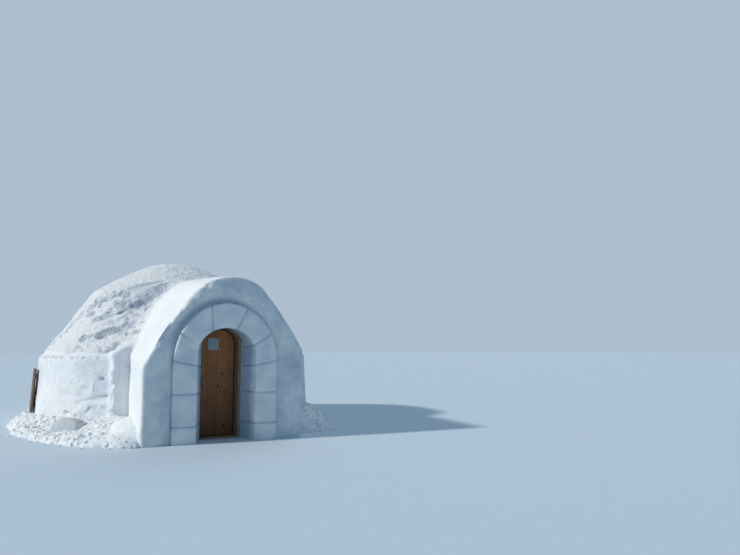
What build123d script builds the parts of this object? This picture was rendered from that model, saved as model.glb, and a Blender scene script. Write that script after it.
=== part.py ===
from build123d import *
import math
import os

# A snow-village igloo in millimetres. The flat front of the porch faces -Y, +X is to the right of a
# visitor who faces the door, and z = 0 is the ground. The origin is under the middle of the whole.

# Clearances
SEAT = 0.3                  # between curved faces that bed on each other
DOOR_GAP = 10.0             # round the leaf, inside its lining

# Dome wall, up to the straight seam
DOME_FOOT_RADIUS = 2820.0
WALL_BATTER = 70.0          # lean of the outer face, from the ground to the seam
SEAM_HEIGHT = 1400.0
WALL_THICKNESS = 550.0
SECTORS = ("right_front", "right_rear", "rear", "left_rear", "left_front")  # round from the porch's middle

# Dome roof
ROOF_LEDGE = 50.0           # step in from the wall's top edge
KNUCKLE_RADIUS = 1810.0     # where the steep flank turns into the flatter cap
KNUCKLE_HEIGHT = 2700.0
CROWN_HEIGHT = 3385.0
FLANK_BULGE = -15.0         # the flanks are slightly hollow
ROOF_THICKNESS = 420.0
LEE_SLOPE = 25.0            # degrees: the right side of the crown has sunk to a flat slope
LEE_START_X = 80.0

# Porch: the hood that stands out of the dome. It has settled unevenly, so the left flank of its front
# turns in lower down than the right one. Where it runs into the dome it is even, wider and higher.
PORCH_LENGTH = 1080.0       # from the foot of the dome to the porch front
HOOD_HALF_WIDTH = 1370.0
HOOD_SIDE_HEIGHT = 1250.0   # of the upright left side, at the front
HOOD_SIDE_EXTRA_HEIGHT = 250.0  # the right side is upright this much further
HOOD_SHOULDER_X = 610.0
HOOD_SHOULDER_HEIGHT = 2410.0  # on the left
HOOD_SHOULDER_EXTRA_HEIGHT = 180.0  # the right shoulder stands this much higher
HOOD_TOP_SHIFT = 100.0      # the top lies to the right of the door's middle
HOOD_TOP_RISE = 365.0       # above the left shoulder
HOOD_FLANK_BULGE = 35.0
HOOD_BACK_SIDE_RISE = 600.0  # growth from the front to the dome's middle
HOOD_BACK_SHOULDER_RISE = 230.0
HOOD_FLARE = 160.0
HOOD_RIM_ROUNDING = 60.0
DISH_WIDTH = 200.0          # the front face slopes back to the ring over this width
DISH_DEPTH = 60.0
GROOVE_WIDTH = 15.0         # flat at the foot of the slope, beside the ring
PASSAGE_HALF_WIDTH = 800.0
PASSAGE_SPRINGING = 1400.0
PASSAGE_HEIGHT = 2100.0

# Corner buttresses between porch and dome
BUTTRESS_BEHIND_FRONT = 1200.0
BUTTRESS_WIDTH = 300.0
BUTTRESS_LOW_HEIGHT = 1430.0
BUTTRESS_HIGH_HEIGHT = 1680.0

# Ring of cut blocks round the doorway
RING_DEPTH = 450.0
RING_HALF_WIDTH = 880.0
RING_SPRINGING = 1300.0
RING_HEIGHT = 2300.0
PORTAL_HALF_WIDTH = 500.0   # the doorway at the front face
PORTAL_SPRINGING = 1450.0
PORTAL_HEIGHT = 1890.0
PORTAL_BACK_HALF_WIDTH = 353.0
PORTAL_BACK_SHIFT = 22.0    # to the right, because the snow laps over the left post
PORTAL_BACK_SPRINGING = 1600.0
PORTAL_BACK_HEIGHT = 1905.0
LOW_COURSE = 280.0
MIDDLE_COURSE = 800.0
HIGH_COURSE_INNER = 1260.0  # this bed slopes down to the doorway
HIGH_COURSE_OUTER = 1340.0
HAUNCH_INNER_ANGLE = 20.0   # joints above the springing, as angles round the two arches
HAUNCH_OUTER_ANGLE = 29.0
CROWN_RIGHT_INNER_ANGLE = 71.0
CROWN_RIGHT_OUTER_ANGLE = 67.0
CROWN_LEFT_INNER_ANGLE = 60.0
CROWN_LEFT_OUTER_ANGLE = 72.0
JOINT_REACH_IN = 200.0      # how far a cutting plane runs past the ring
JOINT_REACH_OUT = 700.0

# Timber lining of the doorway
LINING_THICKNESS = 45.0
LINING_DEPTH = 275.0
LINING_HALF_WIDTH = 325.0   # clear opening
LINING_SPRINGING = 1640.0
LINING_HEIGHT = 1895.0
THRESHOLD_HEIGHT = 20.0

# Door leaf with its ledges, straps, pintles and handle
LEAF_THICKNESS = 45.0
LEDGE_THICKNESS = 25.0
LEDGE_HEIGHT = 110.0
LEDGE_END_INSET = 40.0
LEDGE_LEVELS = {"lower_ledge": 260.0, "middle_ledge": 880.0, "upper_ledge": 1500.0}
STRAP_THICKNESS = 6.0
STRAP_HEIGHT = 44.0
STRAP_LENGTH = 430.0
KNUCKLE_OUTER_RADIUS = 12.0
PIN_RADIUS = 6.0
PIN_CLEARANCE = 0.3
PIVOT_BESIDE_LEAF = 25.0    # from the leaf's edge out to the hinge line
PINTLE_PLATE_WIDTH = 34.0
PINTLE_PLATE_HEIGHT = 120.0
PINTLE_LUG_HEIGHT = 24.0
HANDLE_HEIGHT = 990.0
HANDLE_SPACING = 130.0
HANDLE_FROM_EDGE = 40.0
HANDLE_STAND = 38.0
HANDLE_RADIUS = 8.0
HANDLE_ROSE_RADIUS = 17.0
HANDLE_ROSE_THICKNESS = 4.0

# Loose snow at the foot, and what leans there
BANK_WIDTH = 430.0
BANK_HEIGHT = 300.0
BANK_BULGE = 45.0
BANK_ENDS = 34.0            # degrees from the front at which the banks begin
BANK_NAMES = ("right_bank", "rear_bank", "left_bank")
HEAP_RADIUS = 820.0         # the heap in the corner of porch and buttress
HEAP_HEIGHT = 420.0
HEAP_BULGE = 60.0
HEAP_FROM_PORCH = 200.0     # its middle, out from the porch side
SLAB_LENGTH = 620.0
SLAB_DEPTH = 240.0
SLAB_HEIGHT = 330.0
SLAB_ANGLE = 48.0           # degrees to the left of the front
SLAB_FROM_WALL = 130.0
SLAB_ROUNDING = 60.0
BOARD_WIDTH = 560.0
BOARD_HEIGHT = 920.0
BOARD_THICKNESS = 32.0
BOARD_FOOT = 210.0          # its lower end stands in the bank
BOARD_ANGLE = 88.0          # degrees to the left of the front
BATTEN_THICKNESS = 25.0
BATTEN_WIDTH = 90.0
BATTEN_END = 140.0          # from the board's end to the middle of a batten

# Places that follow from the sizes above
OUTER_RADIUS = DOME_FOOT_RADIUS + BANK_WIDTH
DOME_BEHIND_FRONT = DOME_FOOT_RADIUS + PORCH_LENGTH
FRONT_Y = -(DOME_BEHIND_FRONT + OUTER_RADIUS) / 2
DOME_Y = FRONT_Y + DOME_BEHIND_FRONT
WALL_TOP_RADIUS = DOME_FOOT_RADIUS - WALL_BATTER
LINING_FRONT_Y = FRONT_Y + RING_DEPTH
LINING_BACK_Y = LINING_FRONT_Y + LINING_DEPTH
LEAF_HALF_WIDTH = LINING_HALF_WIDTH - DOOR_GAP
LEAF_BOTTOM = THRESHOLD_HEIGHT + DOOR_GAP
LEAF_BACK_Y = LINING_BACK_Y
LEAF_FRONT_Y = LEAF_BACK_Y - LEAF_THICKNESS
LEDGE_BACK_Y = LEAF_BACK_Y + LEDGE_THICKNESS
PIVOT_X = LEAF_HALF_WIDTH + PIVOT_BESIDE_LEAF
PIVOT_Y = LEDGE_BACK_Y + STRAP_THICKNESS / 2


def save(name, shape):
    """Write one piece to its own file."""
    solids = shape.solids()
    body = solids[0] if len(solids) == 1 else Compound(children=list(solids))
    export_step(body, os.path.join("parts", name + ".step"))


def bulged(start, end, bulge):
    """The middle point of an arc that stands out from a chord, on the chord's right-hand side."""
    along = (end[0] - start[0], end[1] - start[1])
    length = math.hypot(*along)
    return ((start[0] + end[0]) / 2 + along[1] / length * bulge,
            (start[1] + end[1]) / 2 - along[0] / length * bulge)


def front_plane(y):
    """A drawing plane seen from the front: x to the right, up is up."""
    return Plane(origin=(0, y, 0), x_dir=(1, 0, 0), z_dir=(0, -1, 0))


def pushed_back(drawing, y, depth):
    """A front drawing as a solid, from y back by depth."""
    return extrude(front_plane(y) * drawing, amount=depth, dir=(0, 1, 0))


def arch(half_width, springing, height, floor=0.0):
    """An arched opening: a rectangle under half an ellipse."""
    straight = Pos(0, (springing + floor) / 2) * Rectangle(2 * half_width, springing - floor)
    head = Pos(0, springing) * Ellipse(half_width, height - springing)
    above = Pos(0, springing + height) * Rectangle(4 * half_width, 2 * height)
    return straight + (head & above)


def radial_section(points_and_arcs):
    """A closed face in the XZ plane from a chain of (start, middle or None, end)."""
    edges = []
    for start, middle, end in points_and_arcs:
        a = (start[0], 0, start[1])
        b = (end[0], 0, end[1])
        if middle is None:
            edges.append(Edge.make_line(a, b))
        else:
            edges.append(Edge.make_three_point_arc(a, (middle[0], 0, middle[1]), b))
    return Face(Wire(edges))


def turned(section, start_angle=0.0, sweep=360.0):
    """A radial section turned about the dome's own axis, from an angle measured from the front."""
    placed = Rot(0, 0, start_angle - 90) * section
    return Pos(0, DOME_Y, 0) * revolve(placed, axis=Axis.Z, revolution_arc=sweep)


def at_dome_angle(angle, radius, height=0.0):
    """A place at an angle from the front (left is positive) and a distance from the dome's axis."""
    return Pos(0, DOME_Y, height) * Rot(0, 0, -angle) * Pos(0, -radius, 0)


# Dome

def wall_section():
    outer_foot = (DOME_FOOT_RADIUS, 0)
    outer_top = (WALL_TOP_RADIUS, SEAM_HEIGHT)
    inner_top = (WALL_TOP_RADIUS - WALL_THICKNESS, SEAM_HEIGHT)
    inner_foot = (DOME_FOOT_RADIUS - WALL_THICKNESS, 0)
    return radial_section([(outer_foot, None, outer_top), (outer_top, None, inner_top),
                           (inner_top, None, inner_foot), (inner_foot, None, outer_foot)])


def cap_radius():
    """The cap is part of a ball that is level at the crown."""
    rise = CROWN_HEIGHT - KNUCKLE_HEIGHT
    return (KNUCKLE_RADIUS ** 2 + rise ** 2) / (2 * rise)


def on_cap(depth, radius):
    """Height of the cap, or of a ball that lies deeper by a thickness."""
    ball = cap_radius()
    return CROWN_HEIGHT - ball + math.sqrt((ball - depth) ** 2 - radius ** 2)


def vault_line(depth, foot_radius):
    """The roof's line from the seam to the crown, as far inside the outer face as depth."""
    ball = cap_radius()
    knuckle_radius = KNUCKLE_RADIUS * (ball - depth) / ball
    knuckle = (knuckle_radius, on_cap(depth, knuckle_radius))
    foot = (foot_radius, SEAM_HEIGHT)
    crown = (0, CROWN_HEIGHT - depth)
    middle = knuckle_radius / 2
    return [(foot, bulged(foot, knuckle, FLANK_BULGE), knuckle),
            (knuckle, (middle, on_cap(depth, middle)), crown)]


def flank_section():
    """The steep part of the roof, from the seam up to a joint square to the face at the knuckle."""
    outer = vault_line(0, WALL_TOP_RADIUS - ROOF_LEDGE)[0]
    inner = vault_line(ROOF_THICKNESS, WALL_TOP_RADIUS - WALL_THICKNESS)[0]
    return radial_section([outer, (outer[2], None, inner[2]), (inner[2], inner[1], inner[0]),
                           (inner[0], None, outer[0])])


def cap_section():
    """The flat upper part of the roof, a bowl of even thickness that beds on the flanks."""
    outer = vault_line(0, WALL_TOP_RADIUS - ROOF_LEDGE)[1]
    inner = vault_line(ROOF_THICKNESS, WALL_TOP_RADIUS - WALL_THICKNESS)[1]
    return Pos(0, 0, SEAT) * radial_section([outer, (outer[2], None, inner[2]), (inner[2], inner[1], inner[0]),
                                             (inner[0], None, outer[0])])


def lee_side():
    """What is missing from the sheltered right side of the crown, above its flat slope."""
    reach = 2 * KNUCKLE_RADIUS
    above = Box(reach, 2 * reach, reach, align=(Align.MIN, Align.CENTER, Align.MIN))
    return Pos(LEE_START_X, DOME_Y, CROWN_HEIGHT) * Rot(0, LEE_SLOPE, 0) * above


def room():
    """The hollow of the dome."""
    inner_top = (WALL_TOP_RADIUS - WALL_THICKNESS, SEAM_HEIGHT)
    inner_foot = (DOME_FOOT_RADIUS - WALL_THICKNESS, 0)
    vault = vault_line(ROOF_THICKNESS, inner_top[0])
    crown = vault[-1][2]
    return turned(radial_section([(inner_foot, None, inner_top)] + vault
                                 + [(crown, None, (0, 0)), ((0, 0), None, inner_foot)]))


# Porch

def hood_profile(left_side, left_shoulder, top, right_shoulder, right_side):
    """The porch's closed profile: upright sides, bulging flanks and a round top."""
    left_foot = (left_side[0], 0)
    right_foot = (right_side[0], 0)
    right_flank = bulged(right_side, right_shoulder, HOOD_FLANK_BULGE)
    left_flank = bulged(left_shoulder, left_side, HOOD_FLANK_BULGE)
    lines = [Line(left_foot, right_foot), Line(right_foot, right_side),
             ThreePointArc(right_side, right_flank, right_shoulder),
             ThreePointArc(right_shoulder, top, left_shoulder),
             ThreePointArc(left_shoulder, left_flank, left_side), Line(left_side, left_foot)]
    return make_face(Curve() + lines)


def hood(grow=0.0):
    """The porch's outer form, from its front to the middle of the dome."""
    width = HOOD_HALF_WIDTH + grow
    reach = HOOD_SHOULDER_X + grow
    level = HOOD_SHOULDER_HEIGHT + grow
    front = hood_profile((-width, HOOD_SIDE_HEIGHT), (-reach, level), (HOOD_TOP_SHIFT, level + HOOD_TOP_RISE),
                         (reach, level + HOOD_SHOULDER_EXTRA_HEIGHT),
                         (width, HOOD_SIDE_HEIGHT + HOOD_SIDE_EXTRA_HEIGHT))
    back_side = HOOD_SIDE_HEIGHT + HOOD_BACK_SIDE_RISE
    back_reach = reach + HOOD_FLARE
    back_level = level + HOOD_BACK_SHOULDER_RISE
    back = hood_profile((-width, back_side), (-back_reach, back_level), (0, back_level + HOOD_TOP_RISE),
                        (back_reach, back_level), (width, back_side))
    return loft([(front_plane(FRONT_Y) * front).face(), (front_plane(DOME_Y) * back).face()], ruled=True)


def dish():
    """The front face slopes back from the rim to a groove round the ring of blocks."""
    def around(width):
        return arch(RING_HALF_WIDTH + width, RING_SPRINGING, RING_HEIGHT + width)

    ahead = front_plane(FRONT_Y - DISH_DEPTH) * around(2 * DISH_WIDTH - GROOVE_WIDTH)
    deep = front_plane(FRONT_Y + DISH_DEPTH) * around(GROOVE_WIDTH)
    return loft([ahead.face(), deep.face()], ruled=True)


def porch_pieces():
    """The hollowed hood, as two side walls and the vault over them."""
    body = hood()
    rim = [edge for edge in body.edges().group_by(Axis.Y)[0] if edge.center().Z > SEAT]
    body = fillet(rim, HOOD_RIM_ROUNDING)
    body -= room()
    body -= dish()
    body -= pushed_back(arch(RING_HALF_WIDTH + SEAT, RING_SPRINGING, RING_HEIGHT + SEAT), FRONT_Y, RING_DEPTH)
    body -= pushed_back(lining_outline(SEAT), LINING_FRONT_Y, LINING_DEPTH)
    passage = arch(PASSAGE_HALF_WIDTH, PASSAGE_SPRINGING, PASSAGE_HEIGHT)
    body -= pushed_back(passage, LINING_BACK_Y, DOME_Y - LINING_BACK_Y)
    reach = 2 * DOME_BEHIND_FRONT
    below = Pos(0, FRONT_Y, SEAM_HEIGHT / 2) * Box(reach, 2 * reach, SEAM_HEIGHT)
    left_half = Pos(-reach / 2, FRONT_Y, 0) * Box(reach, 2 * reach, 2 * reach)
    walls = body & below
    return {"left_porch_wall": walls & left_half, "right_porch_wall": walls - left_half,
            "porch_vault": body - below}


def buttress(side, grow=0.0):
    """The upright block in the corner of porch and dome, with its sloping top, before the porch is cut out."""
    inside = side * HOOD_SHOULDER_X
    near = side * HOOD_HALF_WIDTH
    far = side * (HOOD_HALF_WIDTH + BUTTRESS_WIDTH + grow)
    low = BUTTRESS_LOW_HEIGHT + grow
    high = BUTTRESS_HIGH_HEIGHT + grow
    profile = Polygon((inside, 0), (far, 0), (far, low), (near, high), (inside, high), align=None)
    depth = DOME_BEHIND_FRONT - BUTTRESS_BEHIND_FRONT + grow
    return pushed_back(profile, FRONT_Y + BUTTRESS_BEHIND_FRONT - grow, depth)


def dome_form():
    """The closed outer form of wall and roof, larger by the bedding clearance."""
    wall_foot = (DOME_FOOT_RADIUS + SEAT, 0)
    wall_top = (WALL_TOP_RADIUS + SEAT, SEAM_HEIGHT + SEAT)
    start = (WALL_TOP_RADIUS - ROOF_LEDGE + SEAT, SEAM_HEIGHT + SEAT)
    vault = vault_line(-SEAT, start[0])
    first = (start, vault[0][1], vault[0][2])
    crown = vault[-1][2]
    return turned(radial_section([(wall_foot, None, wall_top), (wall_top, None, start), first]
                                 + vault[1:] + [(crown, None, (0, 0)), ((0, 0), None, wall_foot)]))


# Ring of blocks

def portal():
    """The doorway through the ring, narrower at the lining than at the front."""
    front = front_plane(FRONT_Y) * arch(PORTAL_HALF_WIDTH, PORTAL_SPRINGING, PORTAL_HEIGHT)
    narrow = arch(PORTAL_BACK_HALF_WIDTH, PORTAL_BACK_SPRINGING, PORTAL_BACK_HEIGHT)
    back = front_plane(LINING_FRONT_Y) * Pos(PORTAL_BACK_SHIFT, 0) * narrow
    return loft([front.face(), back.face()])


def on_arch(half_width, springing, height, angle):
    """A point on an arch's head, by its angle up from the springing."""
    turn = math.radians(angle)
    return (half_width * math.cos(turn), springing + (height - springing) * math.sin(turn))


def arch_joint(inner_angle, outer_angle, side):
    """A joint through the ring's head, as its inner and outer points."""
    inner = on_arch(PORTAL_HALF_WIDTH, PORTAL_SPRINGING, PORTAL_HEIGHT, inner_angle)
    outer = on_arch(RING_HALF_WIDTH, RING_SPRINGING, RING_HEIGHT, outer_angle)
    return ((side * inner[0], inner[1]), (side * outer[0], outer[1]))


def side_joints(side):
    """The joints of one side from the ground up, as pairs of inner and outer points."""
    inner = side * PORTAL_HALF_WIDTH
    outer = side * RING_HALF_WIDTH
    levels = [(0, 0), (LOW_COURSE, LOW_COURSE), (MIDDLE_COURSE, MIDDLE_COURSE),
              (HIGH_COURSE_INNER, HIGH_COURSE_OUTER)]
    joints = [((inner, low), (outer, high)) for low, high in levels]
    joints.append(arch_joint(HAUNCH_INNER_ANGLE, HAUNCH_OUTER_ANGLE, side))
    if side > 0:
        joints.append(arch_joint(CROWN_RIGHT_INNER_ANGLE, CROWN_RIGHT_OUTER_ANGLE, side))
    else:
        joints.append(arch_joint(CROWN_LEFT_INNER_ANGLE, CROWN_LEFT_OUTER_ANGLE, side))
    return joints


def past_ring(joint):
    """The same joint, run on past both faces of the ring."""
    inner, outer = joint
    length = math.dist(inner, outer)
    step = ((outer[0] - inner[0]) / length, (outer[1] - inner[1]) / length)
    return ((inner[0] - step[0] * JOINT_REACH_IN, inner[1] - step[1] * JOINT_REACH_IN),
            (outer[0] + step[0] * JOINT_REACH_OUT, outer[1] + step[1] * JOINT_REACH_OUT))


def between(lower, upper):
    """What lies between two joints, through the ring's whole depth."""
    low_in, low_out = past_ring(lower)
    high_in, high_out = past_ring(upper)
    wedge = Polygon(low_in, low_out, high_out, high_in, align=None)
    return pushed_back(wedge, FRONT_Y, RING_DEPTH)


def ring_blocks():
    ring = pushed_back(arch(RING_HALF_WIDTH, RING_SPRINGING, RING_HEIGHT), FRONT_Y, RING_DEPTH) - portal()
    blocks = {}
    for side, name in ((1, "right_block_"), (-1, "left_block_")):
        joints = side_joints(side)
        for number in range(1, len(joints)):
            blocks[name + str(number)] = ring & between(joints[number - 1], joints[number])
    blocks["crown_block"] = ring & between(side_joints(1)[-1], side_joints(-1)[-1])
    return blocks


# Door lining

def lining_outline(grow=0.0):
    return arch(LINING_HALF_WIDTH + LINING_THICKNESS + grow, LINING_SPRINGING,
                LINING_HEIGHT + LINING_THICKNESS + grow)


def lining_pieces():
    """Two posts, the arched head on them and the threshold between them."""
    opening = arch(LINING_HALF_WIDTH, LINING_SPRINGING, LINING_HEIGHT)
    whole = pushed_back(lining_outline() - opening, LINING_FRONT_Y, LINING_DEPTH)
    reach = 4 * LINING_HALF_WIDTH
    middle_y = LINING_FRONT_Y + LINING_DEPTH / 2
    below = Pos(0, middle_y, LINING_SPRINGING / 2) * Box(2 * reach, reach, LINING_SPRINGING)
    posts = (whole & below).solids().sort_by(Axis.X)
    sill = Pos(0, middle_y, THRESHOLD_HEIGHT / 2) * Box(2 * LINING_HALF_WIDTH, LINING_DEPTH, THRESHOLD_HEIGHT)
    return {"left_door_post": posts[0], "right_door_post": posts[-1],
            "door_head": whole - below, "door_threshold": sill}


# Door

def door_leaf():
    outline = arch(LEAF_HALF_WIDTH, LINING_SPRINGING, LINING_HEIGHT - DOOR_GAP, floor=LEAF_BOTTOM)
    return pushed_back(outline, LEAF_FRONT_Y, LEAF_THICKNESS)


def ledge(level):
    width = 2 * (LEAF_HALF_WIDTH - LEDGE_END_INSET)
    return Pos(0, LEAF_BACK_Y + LEDGE_THICKNESS / 2, level) * Box(width, LEDGE_THICKNESS, LEDGE_HEIGHT)


def strap_hinge(level):
    """A flat strap on a ledge, rolled into an eye round the pin."""
    strap = Pos(PIVOT_X - STRAP_LENGTH / 2, PIVOT_Y, level) * Box(STRAP_LENGTH, STRAP_THICKNESS, STRAP_HEIGHT)
    eye = Pos(PIVOT_X, PIVOT_Y, level) * Cylinder(KNUCKLE_OUTER_RADIUS, STRAP_HEIGHT)
    bore = Pos(PIVOT_X, PIVOT_Y, level) * Cylinder(PIN_RADIUS + PIN_CLEARANCE, 2 * STRAP_HEIGHT)
    return strap + eye - bore


def pintle(level):
    """A plate on the post's back, with a lug that carries the pin up through the strap's eye."""
    eye_bottom = level - STRAP_HEIGHT / 2
    lug_top = eye_bottom - PIN_CLEARANCE
    lug_depth = PIVOT_Y + KNUCKLE_OUTER_RADIUS - LINING_BACK_Y
    post_middle = LINING_HALF_WIDTH + LINING_THICKNESS / 2
    plate = Pos(post_middle, LINING_BACK_Y + STRAP_THICKNESS / 2, lug_top - PINTLE_LUG_HEIGHT / 2) * Box(
        PINTLE_PLATE_WIDTH, STRAP_THICKNESS, PINTLE_PLATE_HEIGHT)
    lug = Pos(PIVOT_X, LINING_BACK_Y + lug_depth / 2, lug_top - PINTLE_LUG_HEIGHT / 2) * Box(
        2 * KNUCKLE_OUTER_RADIUS, lug_depth, PINTLE_LUG_HEIGHT)
    pin_bottom = lug_top - PINTLE_LUG_HEIGHT / 2
    pin_top = level + STRAP_HEIGHT / 2 + KNUCKLE_OUTER_RADIUS
    pin = Pos(PIVOT_X, PIVOT_Y, (pin_bottom + pin_top) / 2) * Cylinder(PIN_RADIUS, pin_top - pin_bottom)
    return plate + lug + pin


def door_handle():
    """A round bar on two feet, each on a small rose."""
    x = -LEAF_HALF_WIDTH + HANDLE_FROM_EDGE
    bar_y = LEAF_FRONT_Y - HANDLE_STAND
    bar = Pos(x, bar_y, HANDLE_HEIGHT) * Cylinder(HANDLE_RADIUS, HANDLE_SPACING + 2 * HANDLE_RADIUS)
    whole = bar
    for end in (-1, 1):
        level = HANDLE_HEIGHT + end * HANDLE_SPACING / 2
        foot = Pos(x, LEAF_FRONT_Y - HANDLE_STAND / 2, level) * Rot(90, 0, 0) * Cylinder(
            HANDLE_RADIUS, HANDLE_STAND)
        rose = Pos(x, LEAF_FRONT_Y - HANDLE_ROSE_THICKNESS / 2, level) * Rot(90, 0, 0) * Cylinder(
            HANDLE_ROSE_RADIUS, HANDLE_ROSE_THICKNESS)
        whole = whole + foot + rose
    return whole


# Foot of the dome

def wall_face_radius(height):
    return DOME_FOOT_RADIUS - WALL_BATTER * height / SEAM_HEIGHT


def slab_form(grow=0.0):
    """A slab that has slid off the wall and stands in the bank."""
    middle_radius = DOME_FOOT_RADIUS + SLAB_FROM_WALL + SLAB_DEPTH / 2
    block = Box(SLAB_LENGTH + 2 * grow, SLAB_DEPTH + 2 * grow, SLAB_HEIGHT + grow,
                align=(Align.CENTER, Align.CENTER, Align.MIN))
    if grow == 0:
        top = block.edges() - block.edges().group_by(Axis.Z)[0]
        block = fillet(top, SLAB_ROUNDING)
    return at_dome_angle(SLAB_ANGLE, middle_radius) * block


def heap(side):
    """A round heap of loose snow in the corner between porch and dome."""
    foot = (HEAP_RADIUS, 0)
    top = (0, HEAP_HEIGHT)
    slope = bulged(foot, top, HEAP_BULGE)
    section = radial_section([((0, 0), None, foot), (foot, slope, top), (top, None, (0, 0))])
    whole = revolve(section, axis=Axis.Z)
    x = side * (HOOD_HALF_WIDTH + HEAP_FROM_PORCH)
    porch_foot = Pos(0, DOME_Y, 0) * Box(2 * (HOOD_HALF_WIDTH + SEAT), 2 * DOME_BEHIND_FRONT,
                                         2 * HOOD_SIDE_HEIGHT)
    return Pos(x, FRONT_Y + BUTTRESS_BEHIND_FRONT, 0) * whole - porch_foot - dome_form()


def banks():
    """Loose snow round the foot, in three lengths, cut where the slab and buttresses stand."""
    foot_in = (DOME_FOOT_RADIUS + SEAT, 0)
    top = (wall_face_radius(BANK_HEIGHT) + SEAT, BANK_HEIGHT)
    foot_out = (DOME_FOOT_RADIUS + BANK_WIDTH, 0)
    section = radial_section([(foot_in, None, foot_out),
                              (foot_out, bulged(foot_out, top, BANK_BULGE), top),
                              (top, None, foot_in)])
    sweep = (360 - 2 * BANK_ENDS) / len(BANK_NAMES)
    result = {}
    for number, name in enumerate(BANK_NAMES):
        bank = turned(section, BANK_ENDS + number * sweep, sweep)
        if number == 0:
            bank += heap(1)
        elif number == len(BANK_NAMES) - 1:
            bank += heap(-1)
        result[name] = bank - buttress(1, SEAT) - buttress(-1, SEAT) - slab_form(SEAT) - side_board(SEAT)
    return result


def side_board(grow=0.0):
    """A small plank board that leans on the wall on its two battens, with its foot in the bank."""
    lean = math.degrees(math.atan2(WALL_BATTER, SEAM_HEIGHT))
    board = Pos(0, -BATTEN_THICKNESS + grow, -grow) * Box(
        BOARD_WIDTH + 2 * grow, BOARD_THICKNESS + 2 * grow, BOARD_HEIGHT + 2 * grow,
        align=(Align.CENTER, Align.MAX, Align.MIN))
    for level in (BATTEN_END, BOARD_HEIGHT - BATTEN_END):
        board += Pos(0, grow, level) * Box(BOARD_WIDTH + 2 * grow, BATTEN_THICKNESS + 2 * grow,
                                           BATTEN_WIDTH + 2 * grow,
                                           align=(Align.CENTER, Align.MAX, Align.CENTER))
    place = at_dome_angle(BOARD_ANGLE, wall_face_radius(BOARD_FOOT) + SEAT, BOARD_FOOT)
    return place * Rot(-lean, 0, 0) * board


def build():
    pieces = {}
    notch = hood(SEAT)
    sunk = lee_side()
    sweep = 360 / len(SECTORS)
    for number, name in enumerate(SECTORS):
        pieces[name + "_wall"] = turned(wall_section(), number * sweep, sweep) - notch
        pieces[name + "_roof"] = turned(flank_section(), number * sweep, sweep) - notch - sunk
    pieces["roof_cap"] = turned(cap_section()) - notch - sunk
    pieces.update(porch_pieces())
    solid_dome = dome_form()
    pieces["right_buttress"] = buttress(1) - notch - solid_dome
    pieces["left_buttress"] = buttress(-1) - notch - solid_dome
    pieces.update(ring_blocks())
    pieces.update(lining_pieces())
    pieces["door_leaf"] = door_leaf()
    for name, level in LEDGE_LEVELS.items():
        pieces[name] = ledge(level)
    for name in ("lower", "upper"):
        level = LEDGE_LEVELS[name + "_ledge"]
        pieces[name + "_strap_hinge"] = strap_hinge(level)
        pieces[name + "_pintle"] = pintle(level)
    pieces["door_handle"] = door_handle()
    pieces.update(banks())
    pieces["fallen_slab"] = slab_form()
    pieces["side_board"] = side_board()
    return pieces


os.makedirs("parts", exist_ok=True)
for piece_name, piece in build().items():
    save(piece_name, piece)
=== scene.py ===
import math
import random

import bmesh
import bpy
from mathutils import Matrix, Vector, noise
from mathutils.bvhtree import BVHTree
from mathutils.kdtree import KDTree


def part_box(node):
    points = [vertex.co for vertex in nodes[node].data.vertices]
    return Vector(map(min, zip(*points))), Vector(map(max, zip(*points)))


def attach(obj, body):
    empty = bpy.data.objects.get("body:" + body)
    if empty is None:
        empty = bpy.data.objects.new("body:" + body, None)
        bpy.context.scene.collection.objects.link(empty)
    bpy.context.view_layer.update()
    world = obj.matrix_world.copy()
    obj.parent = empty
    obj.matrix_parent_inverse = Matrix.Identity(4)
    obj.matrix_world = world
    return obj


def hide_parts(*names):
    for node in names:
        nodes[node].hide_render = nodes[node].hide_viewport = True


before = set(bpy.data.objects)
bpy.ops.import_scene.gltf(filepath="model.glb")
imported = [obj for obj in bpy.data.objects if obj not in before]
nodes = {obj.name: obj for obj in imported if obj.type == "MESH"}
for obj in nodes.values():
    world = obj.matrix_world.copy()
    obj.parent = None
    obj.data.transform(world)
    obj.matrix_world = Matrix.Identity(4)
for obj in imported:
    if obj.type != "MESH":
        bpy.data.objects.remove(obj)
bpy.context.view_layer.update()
scene = bpy.context.scene

# Viewpoint: an adult's eye level on the snow in front of the igloo, turned towards its left side.
# The lens is a short wide one, and the camera looks a little upwards.
EYE_HEIGHT = 1.6
EYE_BEFORE_FRONT = 10.84
EYE_LEFT_OF_DOOR = 3.05
EYE_TURN = 28.0
EYE_TILT = 5.93
PHOTO_WIDTH = 740
LENS_PIXELS = 650.0
SENSOR = 36.0
front_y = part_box("left_block_1")[0].y

camera = bpy.data.objects.new("viewpoint", bpy.data.cameras.new("viewpoint"))
camera.data.sensor_width = SENSOR
camera.data.sensor_fit = "HORIZONTAL"
camera.data.lens = LENS_PIXELS / PHOTO_WIDTH * SENSOR
camera.data.clip_end = 300.0
camera.location = (-EYE_LEFT_OF_DOOR, front_y - EYE_BEFORE_FRONT, EYE_HEIGHT)
camera.rotation_euler = (math.radians(90 + EYE_TILT), 0, math.radians(-EYE_TURN))
scene.collection.objects.link(camera)
scene.camera = camera

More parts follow.
